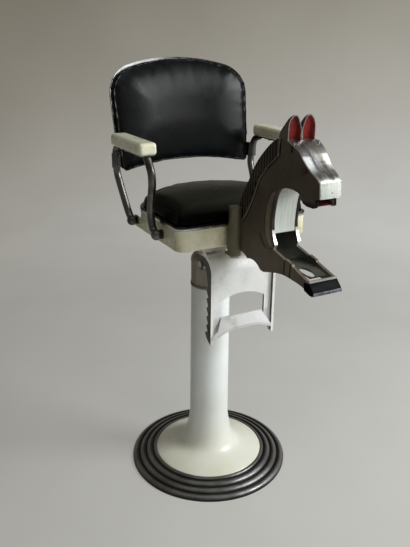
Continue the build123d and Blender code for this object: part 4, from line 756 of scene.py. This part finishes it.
foot_start = foot_radius - foot_round
radii = [foot_start - (foot_start - column_low_radius) * step / foot_steps for step in range(foot_steps + 1)]
profile = [(foot_radius - foot_wall, foot_low), (foot_radius, foot_low), (foot_radius, foot_high - foot_round)]
profile += [(radius, foot_height(radius)) for radius in radii]
profile += [(column_top_radius, column_top_z), (bore_radius, column_top_z), (bore_radius, bush_low_z),
            (column_top_radius - foot_wall, bush_low_z),
            (column_low_radius - foot_wall, dome_height - dome_wall),
            (foot_radius - foot_wall, foot_high - foot_wall)]
skin = bmesh.new()
ring = [skin.verts.new((radius, 0, height)) for radius, height in profile]
ring_edges = [skin.edges.new((ring[index - 1], ring[index])) for index in range(len(ring))]
bmesh.ops.spin(skin, geom=ring + ring_edges, cent=(0, 0, 0), axis=(0, 0, 1), angle=2 * math.pi,
               steps=column_sides, use_merge=True)
bmesh.ops.recalc_face_normals(skin, faces=skin.faces)
show(skin, "column_cast", "pedestal", "enamel_white", white_enamel, stands_for=["column"])

# %% [markdown]
# These castings, bars and sheets are right but for their sharp edges. One table gives each its slot, its
# finish and the width of its round in millimetres: wide on a moulded armrest, narrow on a thin sheet.
# %% Rounded castings and plates
for node, slot, finish, width in (
        ("armrest_right", "enamel_cream", arm_enamel, 2.0), ("armrest_left", "enamel_cream", arm_enamel, 2.0),
        ("mount_plate", "dark_steel", dark_steel, 1.0), ("hanger_bar", "cast_aluminium", cast_aluminium, 1.2),
        ("horse_bracket", "horse_paint", barrel_paint, 0.8),
        ("horse_barrel", "horse_paint", barrel_paint, 1.0), ("horse_rest", "horse_paint", barrel_paint, 0.8),
        ("neck_plate", "horse_paint", horse_paint, 0.5), ("leg_floor", "horse_paint", trough_paint, 0.5),
        ("chest_plate", "bright_aluminium", chest_white, 0.5), ("hoof_block", "hoof_black", hoof_black, 1.2),
        ("hoof_strip", "hoof_strip", hoof_steel, 0.5), ("leg_lip", "bright_aluminium", bare_edge, 0.6),
        ("mouth_plate", "red_paint", mouth_red, 0.5), ("eyes", "red_paint", eye_red, 1.5)):
    skin = joined_copy(node)
    soften(skin, width * mm)
    shade_evenly(show(skin, node + "_rounded", body_of[node], slot, finish, stands_for=[node]))

# %% [markdown]
# The footrest is one casting. The ends of its bar sweep out and down into the rims: the bar is cut into
# short lengths, and its points move by the square of their way along the sweep. The rims are bare in
# front, where shoes rub them, and their sides, backs, undersides and teeth take painted shade, as do the
# sideways faces of the web's cuts, so each face takes its finish from where it looks.
# %% Footrest casting
rim_inner_x = 86.0 * mm
rim_front_y = -170.7 * mm
rim_gap = 0.2 * mm
web_back_y = -150.0 * mm
bar_back_y = -164.5 * mm
bar_end_x = 85.0 * mm
bar_low_z = 486.0 * mm
bar_high_z = 519.0 * mm
sweep_from = 30.0 * mm
sweep_reach = 30.0 * mm
sweep_out = 20.0 * mm
sweep_drop = 15.0 * mm
sweep_cuts = (*range(-58, -33, 4), *range(34, 59, 4))
casting_round = 1.2 * mm

skin = joined_copy("footrest_frame")
for cut in sweep_cuts:
    bmesh.ops.bisect_plane(skin, geom=skin.verts[:] + skin.edges[:] + skin.faces[:], dist=weld_gap,
                           plane_co=(cut * mm, 0, 0), plane_no=(1, 0, 0))
for vert in skin.verts:
    if vert.co.y < bar_back_y and bar_low_z < vert.co.z < bar_high_z and abs(vert.co.x) < bar_end_x:
        share = max(0.0, (abs(vert.co.x) - sweep_from) / sweep_reach) ** 2
        vert.co.x += math.copysign(sweep_out * share, vert.co.x)
        vert.co.z -= sweep_drop * share
soften(skin, casting_round)
skin.normal_update()
# Painted shade: faces that look sideways, back or down take the dark finish.
for face in skin.faces:
    middle = face.calc_center_median()
    on_rim = abs(middle.x) > rim_inner_x - rim_gap
    turned = abs(face.normal.x) > 0.7 or face.normal.y > 0.2 or face.normal.z < -0.5
    rim_side_shade = on_rim and turned and middle.y > rim_front_y
    cut_side_shade = not on_rim and middle.y < web_back_y and abs(face.normal.y) < 0.3 and abs(face.normal.x) > 0.5
    face.material_index = 1 if rim_side_shade or cut_side_shade else 0
casting = show(skin, "footrest_casting", "footrest", "cast_aluminium", cast_aluminium, rim_shade_dark,
               stands_for=["footrest_frame"])
shade_evenly(casting)

# %% [markdown]
# Each side plate of the head is one cut plate with a painted face. The mane's grooves are filled here,
# because the paint draws them as painted shade. The paint is worn to bare metal on the edges round the
# throat and at the knees, the ends of the jaw are black with painted shade round the mouth, and the inner
# faces were left white above the trough. Faces get their finish by where they lie and which way they look.
# %% Side plates of the head
plate_outer = 34.0 * mm
plate_round = 0.8 * mm
groove_floor = (32.0 * mm, 33.2 * mm)
PAINT, SHADE_BLACK, BARE, WHITE, TROUGH = range(5)


def head_share(point):
    """How far a point lies forward from the head's back edge, and up from its underside, as shares."""
    return (head_back_y - point.y) / head_length, (point.z - head_low_z) / head_height


def plate_finish(face):
    """The finish of one face of a side plate."""
    middle = face.calc_center_median()
    along, up = head_share(middle)
    if abs(face.normal.x) > 0.9:
        if face.normal.x * middle.x < 0:
            return WHITE if up > 0.23 and along > 0.4 else TROUGH
        return SHADE_BLACK if groove_floor[0] < abs(middle.x) < groove_floor[1] else PAINT
    # Painted shade on the ends of the jaw, round the mouth.
    if along > 0.85 and 0.5 < up < 0.66:
        return SHADE_BLACK
    if 0.43 < along < 0.52 and 0.13 < up < 0.31:
        return BARE
    if 0.6 < along < 0.68 and 0.1 < up < 0.16:
        return BARE
    return PAINT


for side in ("right", "left"):
    skin = joined_copy("horse_plate_" + side)
    for vert in skin.verts:
        if groove_floor[0] < abs(vert.co.x) < groove_floor[1] and head_share(vert.co)[1] > mane_line[0][0]:
            vert.co.x = math.copysign(plate_outer, vert.co.x)
    bmesh.ops.remove_doubles(skin, verts=skin.verts, dist=weld_gap)
    bmesh.ops.dissolve_limit(skin, angle_limit=flat_angle, verts=skin.verts, edges=skin.edges)
    soften(skin, plate_round, 1)
    skin.normal_update()
    for face in skin.faces:
        face.material_index = plate_finish(face)
    plate = show(skin, "side_plate_" + side, "horse", "horse_paint", side_paint, black_shade, bare_edge,
                 chest_white, trough_paint, stands_for=["horse_plate_" + side])
    shade_evenly(plate)

# %% [markdown]
# The face is one bright sheet bent down over the forehead and the nose. The fold over the nostrils was
# painted white and is scratched.
# %% Face
face_round = 0.7 * mm

skin = joined_copy("face_plate")
soften(skin, face_round)
for face in skin.faces:
    along, up = head_share(face.calc_center_median())
    face.material_index = 1 if face.normal.y < -0.8 and along > 0.9 else 0
show(skin, "face_sheet", "horse", "bright_aluminium", face_sheet, nose_white, stands_for=["face_plate"])

# %% [markdown]
# The ears are cast leaves: painted dark behind, bare on the rim, and red in the hollow. A leaf gets
# thinner towards its tip, so the points behind the rim come forward with height.
# %% Ears
ear_front_y = -374.0 * mm
ear_middle_x = 17.0 * mm
ear_middle_z = 1000.0 * mm
ear_taper_z = 992.0 * mm
ear_taper_rise = 28.0 * mm
ear_back = 3.0 * mm
ear_aside = 1.5 * mm
ear_tip_share = 0.5
ear_round = 0.5 * mm
ear_rim_deep = 0.3 * mm
ear_hollow_deep = 9.5 * mm
PAINTED, RIM, HOLLOW = range(3)

for side, sign in (("left", 1), ("right", -1)):
    skin = joined_copy("ear_" + side)
    for vert in skin.verts:
        rise = min(1.0, max(0.0, (vert.co.z - ear_taper_z) / ear_taper_rise))
        thinner = 1 - ear_tip_share * rise * rise * (3 - 2 * rise)
        vert.co.y = ear_front_y + (vert.co.y - ear_front_y) * thinner + ear_back
        vert.co.x -= ear_aside
    soften(skin, ear_round, 1)
    skin.normal_update()
    for face in skin.faces:
        middle = face.calc_center_median()
        deep = middle.y - ear_back - ear_front_y
        aside = middle.x + ear_aside - sign * ear_middle_x
        outward = aside * face.normal.x + (middle.z - ear_middle_z) * face.normal.z
        if deep < ear_rim_deep:
            face.material_index = RIM
        elif deep < ear_hollow_deep and (outward < 0 or face.normal.y < -0.7):
            face.material_index = HOLLOW
        else:
            face.material_index = PAINTED
    show(skin, "ear_leaf_" + side, "horse", "horse_paint", horse_paint, ear_edge, ear_red,
         stands_for=["ear_" + side])

# %% [markdown]
# The cushions are stuffed leather. Cloth under pressure gives such a form: the solid is copied, given an
# even skin of small squares by a voxel remesh, shrunk a little, and blown up while its back or underside
# is held. A cap keeps each point near its start, so the cushion stays clear of its neighbours, and
# smoothing takes out the small puckers that a stiff leather doesn't have. The back's pad is first curved
# like a pillow, by how near each point is to its sides, and its lower edge hangs a little.
# %% Stuffed cushions
voxel = 5.0 * mm
back_front = Vector((0, -math.cos(math.radians(10)), math.sin(math.radians(10))))
pillow_reach = 105.0 * mm
pillow_depth = 18.0 * mm
hang_reach = 70.0 * mm
hang_depth = 9.0 * mm
pad_aside = 2.5 * mm
stuffing_pressure = 4.0
sim_frames = 20
smooth_passes = 5
tiny = 1e-9


def pillow(skin):
    """Curves the pad's front face away towards its sides."""
    sides = [vert for vert in skin.verts if abs(vert.normal.dot(back_front)) < 0.5]
    side_tree = KDTree(len(sides))
    for index, vert in enumerate(sides):
        side_tree.insert(vert.co, index)
    side_tree.balance()
    fronts = [(vert, side_tree.find(vert.co)[2]) for vert in skin.verts if vert.normal.dot(back_front) > 0.3]
    for vert, away in fronts:
        share = max(0.0, 1 - away / pillow_reach)
        curve = 0.75 * share ** 2 + 0.25 * (1 - math.sqrt(1 - share * share))
        vert.co -= back_front * pillow_depth * curve


def back_shape(skin):
    """The back pad's form: a pillow front, a lower edge that hangs a little deeper, and a small shift aside."""
    pillow(skin)
    lowest = min(vert.co.z for vert in skin.verts)
    for vert in skin.verts:
        share = max(0.0, 1 - (vert.co.z - lowest) / hang_reach)
        vert.co += Vector((pad_aside, 0, -hang_depth * share * share))


def stuffed(node, name, leather, shrink, cap, held, shape=None):
    """A soft piece blown up from a solid. held says which points of the skin don't move."""
    skin = joined_copy(node)
    start = bpy.data.objects.new(name, bpy.data.meshes.new(name))
    skin.to_mesh(start.data)
    skin.free()
    bpy.context.scene.collection.objects.link(start)
    remesh = start.modifiers.new("even skin", "REMESH")
    remesh.mode = "VOXEL"
    remesh.voxel_size = voxel
    bpy.context.view_layer.update()
    even = bpy.data.meshes.new_from_object(start.evaluated_get(bpy.context.evaluated_depsgraph_get()))
    start.modifiers.clear()
    start.data = even
    skin = bmesh.new()
    skin.from_mesh(even)
    bmesh.ops.smooth_vert(skin, verts=skin.verts, factor=0.5, use_axis_x=True, use_axis_y=True, use_axis_z=True)
    skin.normal_update()
    for vert in skin.verts:
        if not held(vert):
            vert.co -= vert.normal * shrink
    if shape:
        shape(skin)
    skin.to_mesh(even)
    skin.free()
    rest = [vert.co.copy() for vert in even.vertices]
    pins = start.vertex_groups.new(name="held")
    pins.add([vert.index for vert in even.vertices if held(vert)], 1.0, "REPLACE")
    cloth = start.modifiers.new("stuffing", "CLOTH")
    cloth.settings.use_pressure = True
    cloth.settings.uniform_pressure_force = stuffing_pressure
    cloth.settings.effector_weights.gravity = 0.0
    cloth.settings.vertex_group_mass = "held"
    cloth.point_cache.frame_end = sim_frames
    for step in range(1, sim_frames + 1):
        bpy.context.scene.frame_set(step)
    blown = bpy.data.meshes.new_from_object(start.evaluated_get(bpy.context.evaluated_depsgraph_get()))
    for vert, before in zip(even.vertices, rest):
        move = blown.vertices[vert.index].co - before
        vert.co = before + move * min(1.0, cap / max(move.length, tiny))
    start.modifiers.clear()
    bpy.context.scene.frame_set(1)
    skin = bmesh.new()
    skin.from_mesh(even)
    for turn in range(smooth_passes):
        bmesh.ops.smooth_vert(skin, verts=[vert for vert in skin.verts if not held(vert)], factor=0.5,
                              use_axis_x=True, use_axis_y=True, use_axis_z=True)
    skin.to_mesh(even)
    skin.free()
    start.vertex_groups.clear()
    for face in even.polygons:
        face.use_smooth = True
    finer = start.modifiers.new("finer skin", "SUBSURF")
    finer.levels = finer.render_levels = 1
    even.materials.clear()
    even.materials.append(leather)
    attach(start, body_of[node])
    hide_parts(node)
    print(name, len(even.vertices), "points")


seat_ring_z = 769.0 * mm
stuffed("seat_cushion", "seat_pad", seat_leather, 1.5 * mm, 6 * mm,
        lambda vert: vert.co.z < seat_ring_z)
stuffed("back_cushion", "back_pad", black_leather, 2.0 * mm, 4 * mm,
        lambda vert: vert.normal.dot(back_front) < -0.6, back_shape)
